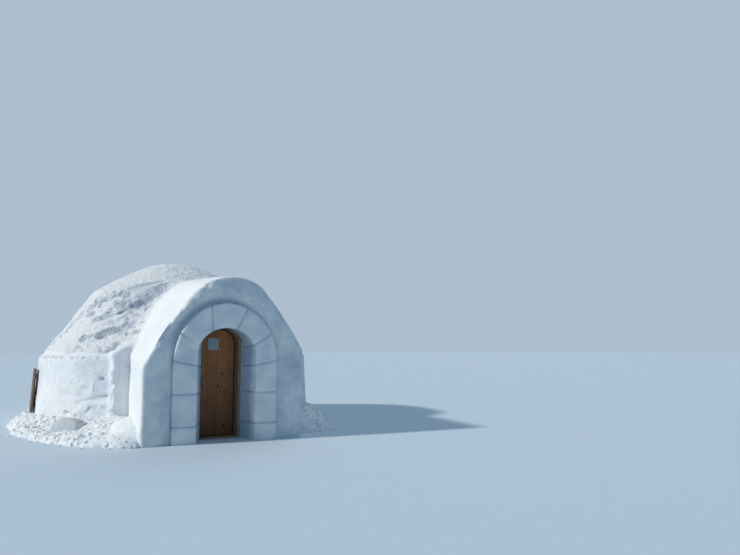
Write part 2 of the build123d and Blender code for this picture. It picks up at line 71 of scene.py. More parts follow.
# Packed snow body: wall, roof, porch and buttresses. The real one is snow blown over a form, then
# trimmed smooth with saws below the seam and left to a wind crust above it. It is one mass, got here
# by melting copies of the solids together, and cut again at the seam.
SECTORS = ("right_front", "right_rear", "rear", "left_rear", "left_front")
DOME_NODES = [sector + part for sector in SECTORS for part in ("_wall", "_roof")] + ["roof_cap"]
PORCH_NODES = ["left_porch_wall", "right_porch_wall", "porch_vault"]
BODY_NODES = DOME_NODES + PORCH_NODES + ["left_buttress", "right_buttress"]
DOME_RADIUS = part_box("right_rear_wall")[1].x
DOME_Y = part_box("rear_wall")[1].y - DOME_RADIUS
PASSAGE_START_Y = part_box("door_leaf")[1].y
CROWN_START_Y = front_y + 2.1
ROOM_MIDDLE = 0.9           # height of the middle of the hollow
SNOW_VOXEL = 0.027
MERGED = 1e-5               # points closer together than this are one
ON_GROUND = 0.001           # a point below this stands on the ground
FOOT_SINK = 0.1             # feet are worked on below the ground, and cut off level at the end
VALLEY_FLOOR = 1.5          # lowest height of the drift in the corner of porch and roof
VALLEY_REACH = 0.5          # how far it runs up each of them
VALLEY_ROUNDS = 260
LEE_DROP = 0.05             # what the lee side of the crown has sunk beyond its solid
LEE_SOFTNESS = 0.6          # and how far the wind has rounded that off
CAP_SAG = 0.055             # the roof has settled between its crown and its shoulder


def ramp(value, low, high):
    """0 at low, 1 at high, with a soft turn at both ends."""
    t = min(max((value - low) / (high - low), 0.0), 1.0)
    return t * t * (3 - 2 * t)


def mesh_from(bm, label="part"):
    mesh = bpy.data.meshes.new(label)
    bm.to_mesh(mesh)
    bm.free()
    return mesh


def piece_from(bm, label, material=None):
    """Ends a bmesh as an object of the scene, with its material where that is known."""
    piece = bpy.data.objects.new(label, mesh_from(bm, label))
    if material:
        piece.data.materials.append(material)
    scene.collection.objects.link(piece)
    return piece


def merged_copy(names):
    """Copies of CAD nodes in one bmesh, with their loose triangles joined."""
    bm = bmesh.new()
    for name in names:
        bm.from_mesh(nodes[name].data)
    bmesh.ops.remove_doubles(bm, verts=bm.verts, dist=MERGED)
    return bm


def sunk_copy(names, label, added=()):
    """Copies of CAD nodes as one piece whose foot is sunk into the ground, with heaps added at places."""
    bm = merged_copy(names)
    for vertex in bm.verts:
        if vertex.co.z < ON_GROUND:
            vertex.co.z -= FOOT_SINK
    for place in added:
        bmesh.ops.create_uvsphere(bm, u_segments=32, v_segments=16, radius=1, matrix=place)
    return piece_from(bm, label)


def settle(pieces):
    """Applies the modifiers of pieces, so that code can move their points."""
    depsgraph = bpy.context.evaluated_depsgraph_get()
    settled = [bpy.data.meshes.new_from_object(piece.evaluated_get(depsgraph)) for piece in pieces]
    for piece, mesh in zip(pieces, settled):
        piece.modifiers.clear()
        piece.data = mesh


def add_softening(piece, rounds, group=""):
    """Smooths a piece, and only by the weights of a vertex group where one is named."""
    soften = piece.modifiers.new("soften", "SMOOTH")
    soften.factor = 0.5
    soften.iterations = rounds
    soften.vertex_group = group


def melt(pieces, voxel, rounds):
    """Turns each piece into one skin of even small faces and takes the hardness off its edges."""
    for piece in pieces:
        remesh = piece.modifiers.new("melt", "REMESH")
        remesh.mode = "VOXEL"
        remesh.voxel_size = voxel
        add_softening(piece, rounds)
    settle(pieces)


def move_points(mesh, move_of):
    """Moves every point of a mesh by what a function of its place and normal gives."""
    moved = [vertex.co + move_of(vertex.co, vertex.normal) for vertex in mesh.vertices]
    mesh.vertices.foreach_set("co", [part for point in moved for part in point])
    mesh.update()


def smooth_where(piece, weight_of, rounds):
    """Smooths a piece by a weight for each point and normal, which fills its hollow corners."""
    weights = [weight_of(vertex.co, vertex.normal) for vertex in piece.data.vertices]
    group = piece.vertex_groups.new(name="drift")
    for index, weight in enumerate(weights):
        if weight > 0:
            group.add([index], weight, "REPLACE")
    add_softening(piece, rounds, "drift")
    settle([piece])
    piece.vertex_groups.clear()


def tree_of(names):
    bm = bmesh.new()
    for name in names:
        bm.from_mesh(nodes[name].data)
    tree = BVHTree.FromBMesh(bm)
    bm.free()
    return tree


def faces_out(point, normal):
    """Whether a point of the snow lies on its outside and not on the walls of the hollow."""
    middle = Vector((0, min(max(point.y, PASSAGE_START_Y), DOME_Y), ROOM_MIDDLE))
    return normal.dot(point - middle) > 0


def sunk(point):
    """How far the crown has settled at a point, most of all on its lee side."""
    across = ramp(point.x, 0.0, 0.75) * (1 - ramp(point.x, 0.9, 2.6))
    behind_porch = ramp(point.y, CROWN_START_Y, CROWN_START_Y + 0.8)
    from_axis = math.hypot(point.x, point.y - DOME_Y)
    shoulder = ramp(from_axis, 0.6, 1.25) * (1 - ramp(from_axis, 1.5, 1.9)) * (1 - ramp(point.x, 0.1, 0.8))
    return (LEE_DROP * across + CAP_SAG * shoulder) * behind_porch * ramp(point.z, 1.9, 2.9)


def drift_share(point, normal):
    """How smooth drifted snow has made a point: on the crown's lee side and in the porch's valley."""
    if point.z < VALLEY_FLOOR or not faces_out(point, normal):
        return 0.0
    lee = LEE_SOFTNESS * ramp(point.x, -0.5, 0.1) * ramp(point.z, 2.0, 2.4)
    lee *= ramp(point.y, CROWN_START_Y, CROWN_START_Y + 0.4)
    if point.y > DOME_Y or point.y < front_y + 0.8:
        return lee
    apart = max(porch_tree.find_nearest(point)[3], dome_tree.find_nearest(point)[3])
    if apart >= VALLEY_REACH:
        return lee
    in_valley = (1 - apart / VALLEY_REACH) ** 0.5 * ramp(point.z, VALLEY_FLOOR, VALLEY_FLOOR + 0.3)
    return max(lee, in_valley)


porch_tree, dome_tree = tree_of(PORCH_NODES), tree_of(DOME_NODES)
body = sunk_copy(BODY_NODES, "snow_body")
melt([body], SNOW_VOXEL, 2)
move_points(body.data, lambda point, normal: Vector((0, 0, -sunk(point))))
smooth_where(body, drift_share, VALLEY_ROUNDS)

# Skin of the body: wind crust on the roof with grey hollows in it, and saw-trimmed snow on the wall and
# the porch. Its points carry four tones, which the snow's colour reads: crust, grey with painted shade in the
# hollows, ice, and painted blue shade.
BLOCK_NAMES = [side + str(n) for side in ("right_block_", "left_block_") for n in range(1, 6)]
BLOCK_NAMES.append("crown_block")
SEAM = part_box("rear_wall")[1].z
CUT = SEAM - 0.022          # the trimmed wall ends a little below the seam of the solids
WIND = Vector((0.78, -0.48, 0.40)).normalized()
WALL_CRUST = 0.5            # the wall has half the tone of the crust, but none of its relief
RING_SPRINGING = 1.3
GROOVE_WIDTH = 0.21         # the porch front is hollowed towards the ring of blocks
GROOVE_DEPTH = 0.085
GROOVE_LEFT = 0.42          # how open the groove is up the left side of the ring
GROOVE_RIGHT = 0.10         # and up its right side
HAUNCH_RECESS = 0.045       # the front stands back beside the ring's left haunch, round this place
HAUNCH_X, HAUNCH_Z = -1.05, 1.80
RETURN_BEHIND = 1.26        # the left return of the buttress, behind the porch front
RETURN_BUMPS = 22
SEAM_GAPS = 150
DOME_PITS = 190
SAW_STROKES = 60
RIM_CRUMBS = 400


def wavy(point, size, seed):
    """Smooth noise from -1 to 1 whose waves are about as long as size."""
    return noise.noise(point / size + Vector((seed, 2.3 * seed, -seed)))


def along_wind(point):
    """The same point, drawn together along the wind, so that noise on it lies in streaks."""
    return point - WIND * (0.8 * point.dot(WIND))


def front_share(point, normal):
    """1 on the flat front of the porch, 0 behind it."""
    return ramp(-normal.y, 0.75, 0.95) * (1 - ramp(point.y, front_y + 0.2, front_y + 0.5))


def crust_share(point):
    """How much of a point is wind crust: all on the roof, but none on the polished porch and drift."""
    behind = point.y - front_y
    # The crust of the roof begins behind a line that leans back up the porch.
    edge = front_y + 1.15 + 0.95 * (point.z - 1.65) - 0.22 * ramp(point.z, 2.35, 2.75)
    roof = ramp(point.z, SEAM - 0.02, SEAM + 0.1) * ramp(point.y, edge - 0.05, edge + 0.35)
    # There is some along the upper left rim of the porch, and a patch on its left shoulder.
    rim = 0.8 * ramp(-point.x, 0.1, 0.6) * ramp(point.z, 2.05, 2.35) * (1 - ramp(behind, 0.12, 0.3))
    patch = 1 - ramp(math.hypot((behind - 0.31) / 0.7, point.z - 1.86 + 1.2 * (point.x + 1.04)), 0.03, 0.12)
    patch *= 0.9 * ramp(-point.x, 0.8, 0.9) * ramp(0.6 - behind, 0, 0.2)
    wall = WALL_CRUST * ramp(behind, 1.0, 1.15) * (1 - roof)
    return max(roof, rim, wall, patch)


def shaded_grey_blotch(point):
    """Grey, hollowed patches of the crust, drawn out along the wind; their grey is partly painted shade in
    the hollows.
    """
    smooth_top = ramp(point.x, -0.5, 0.0) * ramp(point.z, 2.5, 2.8) * ramp(DOME_Y - point.y, -0.4, 0.2)
    porch = ramp(front_y + 1.0, point.y, point.y + 0.3)
    patches = ramp(wavy(along_wind(point), 0.45, 21) + 0.5 * wavy(point, 0.10, 22), 0.12, 0.55)
    return (1 - smooth_top) * (1 - porch) * patches


def weathered(point, normal, crust, grey_and_shade):
    """How far the outside stands proud of the plain form at a point, from undulation, wind and trimming."""
    front = front_share(point, normal)
    drawn = along_wind(point)
    crust = ramp(crust, WALL_CRUST - 0.05, 1.0)
    grain = wavy(point, 0.10, 5) + 0.8 * wavy(drawn, 0.05, 7)
    rough = 0.018 * wavy(point, 0.75, 1) + 0.016 * wavy(drawn, 0.17, 3) + 0.011 * grain - 0.024 * grey_and_shade
    offset = crust * rough
    offset += (1 - crust) * (0.011 * wavy(point, 0.6, 2) + 0.0035 * wavy(point, 0.2, 4))
    offset += (1 - crust) * (1 - front) * 0.0022 * wavy(point, 0.07, 6)
    # The foot of the wall is rougher, where spades have worked.
    foot = (1 - ramp(point.z, 0.25, 0.65)) * (1 - front)
    return offset + foot * (0.02 * wavy(point, 0.22, 8) + 0.010 * wavy(point, 0.08, 9))


def deep_share(point, normal):
    """How much painted blue shade a point takes: on the shaded porch front and in the wall's hollow corner
    beside the buttress.
    """
    front = front_share(point, normal)
    # The painted shade is bluest on the wall beside the buttress, in its hollow corner, on either side of the
    # porch.
    angle = math.degrees(math.atan2(-point.x, DOME_Y - point.y))
    wall = (0.45 + 0.55 * (1 - ramp(abs(angle), 36, 52))) * ramp(point.y, front_y + 1.2, front_y + 1.3)
    wall *= 1 - ramp(point.z, SEAM - 0.04, SEAM + 0.06)
    mottled = 0.5 + 1.1 * wavy(point, 0.35, 12) + 0.7 * wavy(point, 0.12, 13)
    return min(max(front * (0.10 + 0.44 * mottled) + wall * (0.12 + 0.30 * mottled), 0.0), 1.0)


def groove_share(point):
    """How open the groove round the ring of blocks is: widest at its upper left, nearly shut at its right."""
    if point.z < RING_SPRINGING:
        return GROOVE_LEFT if point.x < 0 else GROOVE_RIGHT
    angle = math.degrees(math.atan2(point.z - RING_SPRINGING, -point.x))
    widening = 0.58 * ramp(angle, 0, 35)
    return GROOVE_LEFT + widening - 0.55 * ramp(angle, 80, 130) - 0.35 * ramp(angle, 130, 180)


def groove_hollow(point):
    """How far the groove has taken the porch front back at a point, as a share of its depth."""
    if point.y > front_y + GROOVE_DEPTH + 0.02:
        return 0.0
    apart = block_tree.find_nearest(point)[3]
    share = groove_share(point)
    return share * (1 - ramp(apart, 0.012, GROOVE_WIDTH * (0.25 + 0.75 * share)))


block_tree = tree_of(BLOCK_NAMES)
point_count = len(body.data.vertices)
tones = {name: [0.0] * point_count for name in ("crust", "grey_and_shade", "ice", "deep")}
moves = {}
outside = []
inside = []
for vertex in body.data.vertices:
    point, normal = vertex.co, vertex.normal
    hollow = groove_hollow(point)
    hollowed = Vector((0, max(front_y + GROOVE_DEPTH * hollow - point.y, 0), 0)) if hollow > 0 else Vector()
    if not faces_out(point, normal):
        inside.append(vertex.index)
        moves[vertex.index] = normal * (0.006 * wavy(point, 0.45, 11)) + hollowed
        continue
    outside.append(vertex.index)
    crust = crust_share(point)
    grey_and_shade = shaded_grey_blotch(point) if crust > 0 else 0.0
    tones["crust"][vertex.index] = crust
    tones["grey_and_shade"][vertex.index] = grey_and_shade * crust
    # The groove round the ring takes painted blue shade as well as its hollow.
    tones["deep"][vertex.index] = max(deep_share(point, normal), min(1.3 * hollow, 1.0))
    moves[vertex.index] = normal * weathered(point, normal, crust, grey_and_shade) + hollowed
    if point.y < front_y + 0.03 and normal.y < -0.5:
        from_haunch = math.hypot(0.6 * (point.x - HAUNCH_X), 0.75 * (point.z - HAUNCH_Z))
        moves[vertex.index].y += HAUNCH_RECESS * (1 - ramp(from_haunch, 0.05, 0.24))
places = KDTree(len(outside))
for index in outside:
    places.insert(body.data.vertices[index].co, index)
places.balance()


def surface_tree(mesh):
    return BVHTree.FromPolygons([v.co for v in mesh.vertices], [p.vertices for p in mesh.polygons])


body_tree = surface_tree(body.data)


def met(start, direction):
    """Where a ray first meets the body, and the normal there. Both are None where it misses."""
    return body_tree.ray_cast(start, direction)[:2]


def on_dome(angle, height):
    """The outside at an angle to the left of the front and a height."""
    turn = math.radians(angle)
    outward = Vector((-math.sin(turn), -math.cos(turn), 0))
    return met(Vector((0, DOME_Y, height)) + outward * 4.5, -outward)


def on_side(behind_front, height):
    """The outside of the porch or a buttress, met from the left."""
    return met(Vector((-4, front_y + behind_front, height)), Vector((1, 0, 0)))


def on_front(x, height):
    """The outside of the porch or a buttress, met from the front."""
    return met(Vector((x, front_y - 1, height)), Vector((0, 1, 0)))


def dent(place, along, across, tilt, depth, tone=None):
    """Presses an oval hollow into the body, or raises a hump where depth is below 0."""
    middle, normal = place
    level = Vector((0, 0, 1)).cross(normal).normalized()
    upward = normal.cross(level)
    turn = math.radians(tilt)
    run = level * math.cos(turn) + upward * math.sin(turn)
    rise = upward * math.cos(turn) - level * math.sin(turn)
    for point, index, distance in places.find_range(middle, max(along, across)):
        gap = point - middle
        share = (gap.dot(run) / along) ** 2 + (gap.dot(rise) / across) ** 2
        if share < 1:
            moves[index] -= normal * (depth * (1 - share) ** 2)
            if tone:
                tones[tone][index] = max(tones[tone][index], 1 - share * share)


def broken_ledge(start, end, width, depth):
    """A step in the trimmed wall between two places on the dome: sharp above, running out below."""
    first, last = on_dome(*start), on_dome(*end)
    run = last[0] - first[0]
    reach = run.length
    run.normalize()
    middle = (first[0] + last[0]) / 2
    outward = (first[1] + last[1]).normalized()
    down = run.cross(outward).normalized()
    down *= -1 if down.z > 0 else 1
    for point, index, distance in places.find_range(middle, reach / 2 + width):
        gap = point - first[0]
        share = gap.dot(run) / reach
        below = gap.dot(down) + 0.018 * wavy(point, 0.12, 31)
        if 0 < share < 1 and -0.012 < below < width:
            profile = (1 - below / width) * ramp(below, -0.014, 0.008) * (1 + wavy(point, 0.09, 33))
            ends = ramp(share, 0, 0.2) * (1 - ramp(share, 0.8, 1))
            moves[index] -= outward * (1.4 * depth * profile * ends)


# Marks of wind and tools on the left side, from the crown down to the foot: place as an angle to the
# left of the front and a height, half length, half width, tilt and depth.
LEFT_MARKS = (
    (38.5, 2.20, 0.15, 0.05, 20, -0.020), (58.5, 2.50, 0.12, 0.09, 15, 0.028),
    (31.0, 2.66, 0.20, 0.12, 30, 0.020), (39.0, 2.05, 0.62, 0.10, 14, 0.026),
    (41.2, 1.85, 0.12, 0.07, 15, 0.022), (50.7, 1.64, 0.10, 0.06, 20, 0.018),
    (39.8, 0.99, 0.055, 0.03, 0, 0.040), (46.8, 0.80, 0.20, 0.13, 20, 0.030),
    (43.2, 0.84, 0.035, 0.13, 6, -0.024), (38.6, 0.54, 0.15, 0.07, 14, -0.034),
    (50.0, 0.40, 0.12, 0.05, 12, -0.024), (53.4, 0.91, 0.035, 0.035, 0, 0.024),
    (49.3, 0.95, 0.04, 0.05, 30, 0.022), (54.8, 0.79, 0.04, 0.035, 0, 0.020),
    (59.2, 0.75, 0.035, 0.03, 0, 0.018), (70.6, 0.48, 0.05, 0.05, 0, 0.028),
    (55.6, 0.55, 0.06, 0.035, 10, 0.024), (57.5, 0.56, 0.03, 0.04, 0, 0.020),
    (64.0, 0.95, 0.03, 0.03, 0, 0.014),
)
for angle, height, along, across, tilt, depth in LEFT_MARKS:
    dent(on_dome(angle, height), along, across, tilt, depth)

# Grey hollows in the crust of the roof, in the same order of numbers. Their grey is partly the crust's own
# and partly painted shade in the hollow.
SHADED_GREY_MARKS = (
    (33.5, 2.40, 0.32, 0.15, 24, 0.090), (58.5, 2.50, 0.18, 0.11, 15, 0.018),
    (49.0, 2.60, 0.22, 0.10, 15, 0.024), (27.5, 2.62, 0.34, 0.17, 38, 0.016),
    (42.0, 1.88, 0.44, 0.12, 16, 0.040), (46.9, 1.78, 0.16, 0.11, 10, 0.044),
    (56.4, 1.73, 0.12, 0.11, 0, 0.050), (52.0, 2.12, 0.30, 0.09, 18, 0.016),
    (36.5, 1.98, 0.26, 0.10, 30, 0.018), (24.0, 2.76, 0.22, 0.05, 40, 0.014),
    (30.0, 2.82, 0.25, 0.05, 35, 0.014), (21.0, 2.62, 0.20, 0.05, 42, 0.012),
    (44.0, 2.42, 0.20, 0.08, 20, 0.016), (38.0, 2.78, 0.30, 0.10, 25, 0.020),
    (63.0, 2.20, 0.14, 0.08, 15, 0.014),
)
for angle, height, along, across, tilt, depth in SHADED_GREY_MARKS:
    dent(on_dome(angle, height), along, across, tilt, depth, "grey_and_shade")

# A patch of bare ice in the roof, with a lip of snow under it.
dent(on_dome(42.4, 2.23), 0.12, 0.07, 25, 0.045, "ice")
dent(on_dome(40.8, 2.14), 0.15, 0.05, 28, -0.034)

# Ledges where slabs of the trimmed wall have broken away, low on the left.
LEDGES = (
    ((61.0, 0.71), (43.0, 0.70), 0.10, 0.014), ((52.0, 0.56), (35.5, 0.76), 0.11, 0.030),
    ((43.5, 0.50), (37.5, 0.60), 0.12, 0.013), ((57.0, 0.42), (48.0, 0.31), 0.10, 0.034),
    ((48.0, 0.33), (43.0, 0.54), 0.10, 0.013), ((41.5, 1.02), (37.5, 1.00), 0.07, 0.024),
)
for start, end, width, depth in LEDGES:
    broken_ledge(start, end, width, depth)

# Bumps and notches down the left return of the buttress, where the saw has torn it.
rng = random.Random(17)
for step in range(RETURN_BUMPS):
    place = on_side(RETURN_BEHIND, 0.38 + 0.05 * step)
    if place[0] is not None:
        dent(place, rng.uniform(0.07, 0.14), rng.uniform(0.05, 0.09), 90, rng.uniform(-0.045, 0.042))
dent(on_side(RETURN_BEHIND, 0.90), 0.10, 0.07, 0, 0.06)

# The seam between trimmed wall and wind crust shows as a broken line of small gaps, greyed with painted
# shade.
rng = random.Random(4)
for step in range(SEAM_GAPS):
    angle = 36 + step * 2.0 + rng.uniform(-0.7, 0.7)
    if rng.random() < 0.75:
        place = on_dome(angle, CUT + rng.uniform(-0.006, 0.006))
        dent(place, rng.uniform(0.04, 0.10), 0.034, 0, rng.uniform(0.02, 0.05), "grey_and_shade")

# Other hollows and pits lie anywhere on the dome, away from its left front.
for _ in range(DOME_PITS):
    angle = rng.uniform(75, 325)
    height = rng.uniform(0.35, 2.75)
    size = rng.uniform(0.04, 0.16) if height > SEAM else rng.uniform(0.03, 0.08)
    place = on_dome(angle, height)
    if place[0] is not None:
        dent(place, size * rng.uniform(1.0, 2.4), size, rng.uniform(5, 30), size * rng.uniform(0.10, 0.26))

# The porch front is trimmed with long saw strokes, with a few scrapes.
for _ in range(SAW_STROKES):
    place = on_front(rng.uniform(-1.3, 1.3), rng.uniform(0.2, 2.6))
    if place[0] is not None and place[0].y < front_y + 0.12:
        dent(place, rng.uniform(0.10, 0.32), rng.uniform(0.03, 0.09), rng.uniform(30, 150),
             rng.uniform(-0.006, 0.009))
# A small hollow high in the porch front, greyed with painted shade.
dent(on_front(0.42, 2.37), 0.07, 0.05, 30, 0.03, "grey_and_shade")

# Along its upper left rim the porch front has crumbled.
for _ in range(RIM_CRUMBS):
    x, height = rng.uniform(-1.25, -0.15), rng.uniform(1.95, 2.8)
    place, beyond = on_front(x, height), on_front(x - 0.10, height + 0.10)
    if place[0] is None or place[0].y > front_y + 0.12:
        continue
    if beyond[0] is None or beyond[0].y > front_y + 0.15:
        size = rng.uniform(0.03, 0.06)
        dent(place, size * rng.uniform(1, 2), size, rng.uniform(20, 70), size * rng.uniform(-0.35, 0.45))

# End of the skin: the walls of the hollow lose most of their faces, and the skin is cut level at the
# foot and at the seam, into walls and roof.
INSIDE_KEPT = 0.12          # the smooth walls of the hollow need few faces


def set_tone(mesh, name, values):
    """Gives each point of a mesh a number that the snow's colour reads."""
    tone = mesh.attributes.new(name, "FLOAT", "POINT")
    tone.data.foreach_set("value", values)


def thin(piece, points, share):
    """Keeps a share of a piece's faces, and takes the others away from round the given points."""
    piece.vertex_groups.new(name="thin").add(points, 1.0, "REPLACE")
    fewer = piece.modifiers.new("thin", "DECIMATE")
    fewer.vertex_group = "thin"
    fewer.ratio = share
    settle([piece])
    piece.vertex_groups.clear()


def trim(bm, point, direction):
    """Takes off what lies beyond a plane and closes the cut, with a hard edge round it."""
    geometry = bm.verts[:] + bm.edges[:] + bm.faces[:]
    bmesh.ops.bisect_plane(bm, geom=geometry, dist=MERGED, plane_co=point, plane_no=direction,
                           clear_outer=True)
    rim = [edge for edge in bm.edges if edge.is_boundary]
    for edge in rim:
        edge.smooth = False
    bmesh.ops.triangle_fill(bm, use_beauty=True, edges=rim, normal=direction)


def level_slice(piece, label, low, high=None):
    """A closed copy of what lies above one height and, where one is given, below another."""
    bm = bmesh.new()
    bm.from_mesh(piece.data)
    trim(bm, Vector((0, 0, low)), Vector((0, 0, -1)))
    if high is not None:
        trim(bm, Vector((0, 0, high)), Vector((0, 0, 1)))
    for face in bm.faces:
        face.smooth = True
    return piece_from(bm, label)


for name, values in tones.items():
    set_tone(body.data, name, values)
for vertex in body.data.vertices:
    vertex.co += moves[vertex.index]
outside_share = len(outside) / point_count
thin(body, inside, outside_share + INSIDE_KEPT * (1 - outside_share))

lower_body = level_slice(body, "snow_walls", 0.0, CUT)
upper_body = level_slice(body, "snow_roof", CUT)
bpy.data.objects.remove(body)
for piece in (lower_body, upper_body):
    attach(piece, "root")
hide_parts(*[n for n in BODY_NODES if n.endswith("_wall") or n.endswith("_buttress")])
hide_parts(*[n for n in BODY_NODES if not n.endswith("_wall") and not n.endswith("_buttress")])

# Finish of the snow, in linear light: white with random grey mottling; grey crust, with painted shade in its
# hollows and pits; painted blue shade on shaded and recessed snow; dull all over but for bare ice.
SNOW_WHITE = (0.885, 0.895, 0.90, 1)
SNOW_HOLLOW = (0.69, 0.74, 0.79, 1)
CRUST_PALE = (0.915, 0.925, 0.935, 1)
# Grey of the crust, which is also painted shade in its hollows and pits.
CRUST_GREY_AND_SHADE = (0.25, 0.32, 0.43, 1)
ICE_TEAL = (0.21, 0.36, 0.40, 1)
# Painted blue shade, which the snow takes where it stands in shade or in a recess.
PAINTED_SHADE_BLUE = (0.43, 0.52, 0.625, 1)
ICE_ROUGHNESS = 0.25


def new_material(name):
    material = bpy.data.materials.new(name)
    material.use_nodes = True
    tree = material.node_tree
    return material, tree, tree.nodes["Principled BSDF"]


def feed(tree, made, inputs):
    """Gives a node's inputs, by name or number, another node's output, a number or a colour."""
    for key, value in inputs.items():
        socket = made.inputs[key]
        if isinstance(value, bpy.types.NodeSocket):
            tree.links.new(value, socket)
        else:
            socket.default_value = value
    return made


def node(tree, kind, inputs, **settings):
    """A new node with its inputs and its own settings."""
    made = tree.nodes.new(kind)
    for name, value in settings.items():
        setattr(made, name, value)
    return feed(tree, made, inputs)


def object_place(tree):
    return node(tree, "ShaderNodeTexCoord", {}).outputs["Object"]


def mixed(tree, share, first, second):
    """One colour turning into another by a share, which is a number or a socket."""
    return node(tree, "ShaderNodeMix", {0: share, 6: first, 7: second}, data_type="RGBA").outputs[2]


def scaled(tree, value, from_low, from_high, to_low=0.0, to_high=1.0):
    """A value's place between two others, as the same place between two more."""
    ends = {"From Min": from_low, "From Max": from_high, "To Min": to_low, "To Max": to_high}
    return node(tree, "ShaderNodeMapRange", {"Value": value, **ends}).outputs["Result"]


def calculated(tree, operation, first, second):
    """What a Math node makes of two values."""
    return node(tree, "ShaderNodeMath", {0: first, 1: second}, operation=operation).outputs[0]


def summed(tree, first, first_share, second, second_share):
    """The sum of a share of one value and a share of another."""
    parts = [calculated(tree, "MULTIPLY", *pair) for pair in ((first, first_share), (second, second_share))]
    return calculated(tree, "ADD", *parts)


def vector_math(tree, operation, first, second):
    """The outputs of a Vector Math node on two vectors."""
    return node(tree, "ShaderNodeVectorMath", {0: first, 1: second}, operation=operation).outputs


def bumped(tree, height, strength, distance):
    """A normal tilted by a height."""
    inputs = {"Height": height, "Strength": strength, "Distance": distance}
    return node(tree, "ShaderNodeBump", inputs).outputs["Normal"]


def noise_at(tree, place, scale, detail, rough=0.55):
    inputs = {"Vector": place, "Scale": scale, "Detail": detail, "Roughness": rough}
    return node(tree, "ShaderNodeTexNoise", inputs).outputs["Fac"]


def tone_of(tree, name):
    """A tone of the points, which is 0 on a piece that lacks it."""
    return node(tree, "ShaderNodeAttribute", {}, attribute_name=name).outputs["Fac"]


def windblown(tree, place):
    """The place drawn together along the wind, for patterns that lie in streaks."""
    along = calculated(tree, "MULTIPLY", vector_math(tree, "DOT_PRODUCT", place, WIND)["Value"], 0.72)
    part = node(tree, "ShaderNodeVectorMath", {0: WIND, "Scale": along}, operation="SCALE")
    return vector_math(tree, "SUBTRACT", place, part.outputs["Vector"])["Vector"]


def snow_material(name, shade=1.0, grain=1.0):
    """Packed snow, whose crust, grey hollows darkened with painted shade, painted blue shade and bare ice
    come from the tones of its points.
    """
    material, tree, shader = new_material(name)
    place = object_place(tree)
    drawn = windblown(tree, place)
    crust, grey_and_shade, ice, deep = (tone_of(tree, tone) for tone in ("crust", "grey_and_shade", "ice", "deep"))
    patches = noise_at(tree, place, 1.7, 5)
    mottle = noise_at(tree, place, 9.0, 4)
    fine = noise_at(tree, drawn, 36, 5, 0.7)
    grains = noise_at(tree, place, 26, 3, 0.6)
    crystals = noise_at(tree, place, 120, 3, 0.6)
    white = [part * shade for part in SNOW_WHITE[:3]] + [1]
    smooth_white = mixed(tree, scaled(tree, patches, 0.38, 0.72, 0, 0.55), white, SNOW_HOLLOW)
    smooth_white = mixed(tree, scaled(tree, mottle, 0.48, 0.70, 0, 0.35), smooth_white, SNOW_HOLLOW)
    # Dark specks fall where the relief's noise is low, in its pits: partly grain tone, partly painted shade.
    specks_and_pit_shade = calculated(tree, "MAXIMUM", scaled(tree, fine, 0.46, 0.40), scaled(tree, grains, 0.44, 0.39))
    specks_and_pit_shade = calculated(tree, "MULTIPLY", specks_and_pit_shade, scaled(tree, grey_and_shade, 0, 1, 0.27, 1.0))
    greyed = mixed(tree, scaled(tree, grey_and_shade, 0, 1, 0, 0.48), CRUST_PALE, CRUST_GREY_AND_SHADE)
    speckled_and_shaded = mixed(tree, specks_and_pit_shade, greyed, CRUST_GREY_AND_SHADE)
    colour = mixed(tree, crust, smooth_white, speckled_and_shaded)
    # Painted blue shade.
    colour = mixed(tree, deep, colour, PAINTED_SHADE_BLUE)
    icy = calculated(tree, "MULTIPLY", ice, scaled(tree, grains, 0.35, 0.6, 0.3, 1.0))
    roughened = scaled(tree, crust, WALL_CRUST, 1, 0.22, 1.0)
    relief = summed(tree, calculated(tree, "ADD", fine, grains), roughened, crystals, 0.10)
    dull = scaled(tree, crystals, 0.3, 0.7, 0.55, 0.85)
    feed(tree, shader, {
        "Base Color": mixed(tree, icy, colour, ICE_TEAL),
        "Normal": bumped(tree, relief, 0.8 * grain, 0.035),
        "Roughness": summed(tree, dull, calculated(tree, "SUBTRACT", 1.0, ice), ice, ICE_ROUGHNESS),
        "IOR": 1.31,
    })
    return material


body_snow = snow_material("packed_snow")
lower_body.data.materials.append(body_snow)
upper_body.data.materials.append(body_snow)

# Ring of blocks round the doorway: eleven wedges sawn from hard snow and set dry in the porch front.
# Their arrises have melted back, so each joint shows as a shallow furrow, blued with painted shade.
BLOCK_VOXEL = 0.015
BLOCK_SWELL = 0.005         # the blocks have frozen together, so they run into each other a little
JOINT_REACH = 0.035
JOINT_DEPTH = 0.009


def joint_share(point, neighbours):
    """1 at the joint with another block or the porch, 0 from a few centimetres on."""
    return 1 - ramp(neighbours.find_nearest(point)[3], 0.008, JOINT_REACH)


def swollen(point, normal, forward, seed, neighbours):
    """How a point of a block moves: out unevenly, its face forward or back, and in at the joints."""
    offset = BLOCK_SWELL + 0.004 * wavy(point, 0.18, seed) + 0.0018 * wavy(point, 0.05, seed)
    face = 1 if normal.y < -0.5 else 0
    furrow = JOINT_DEPTH * joint_share(point, neighbours)
    return normal * offset + Vector((0, face * (forward + furrow), 0))


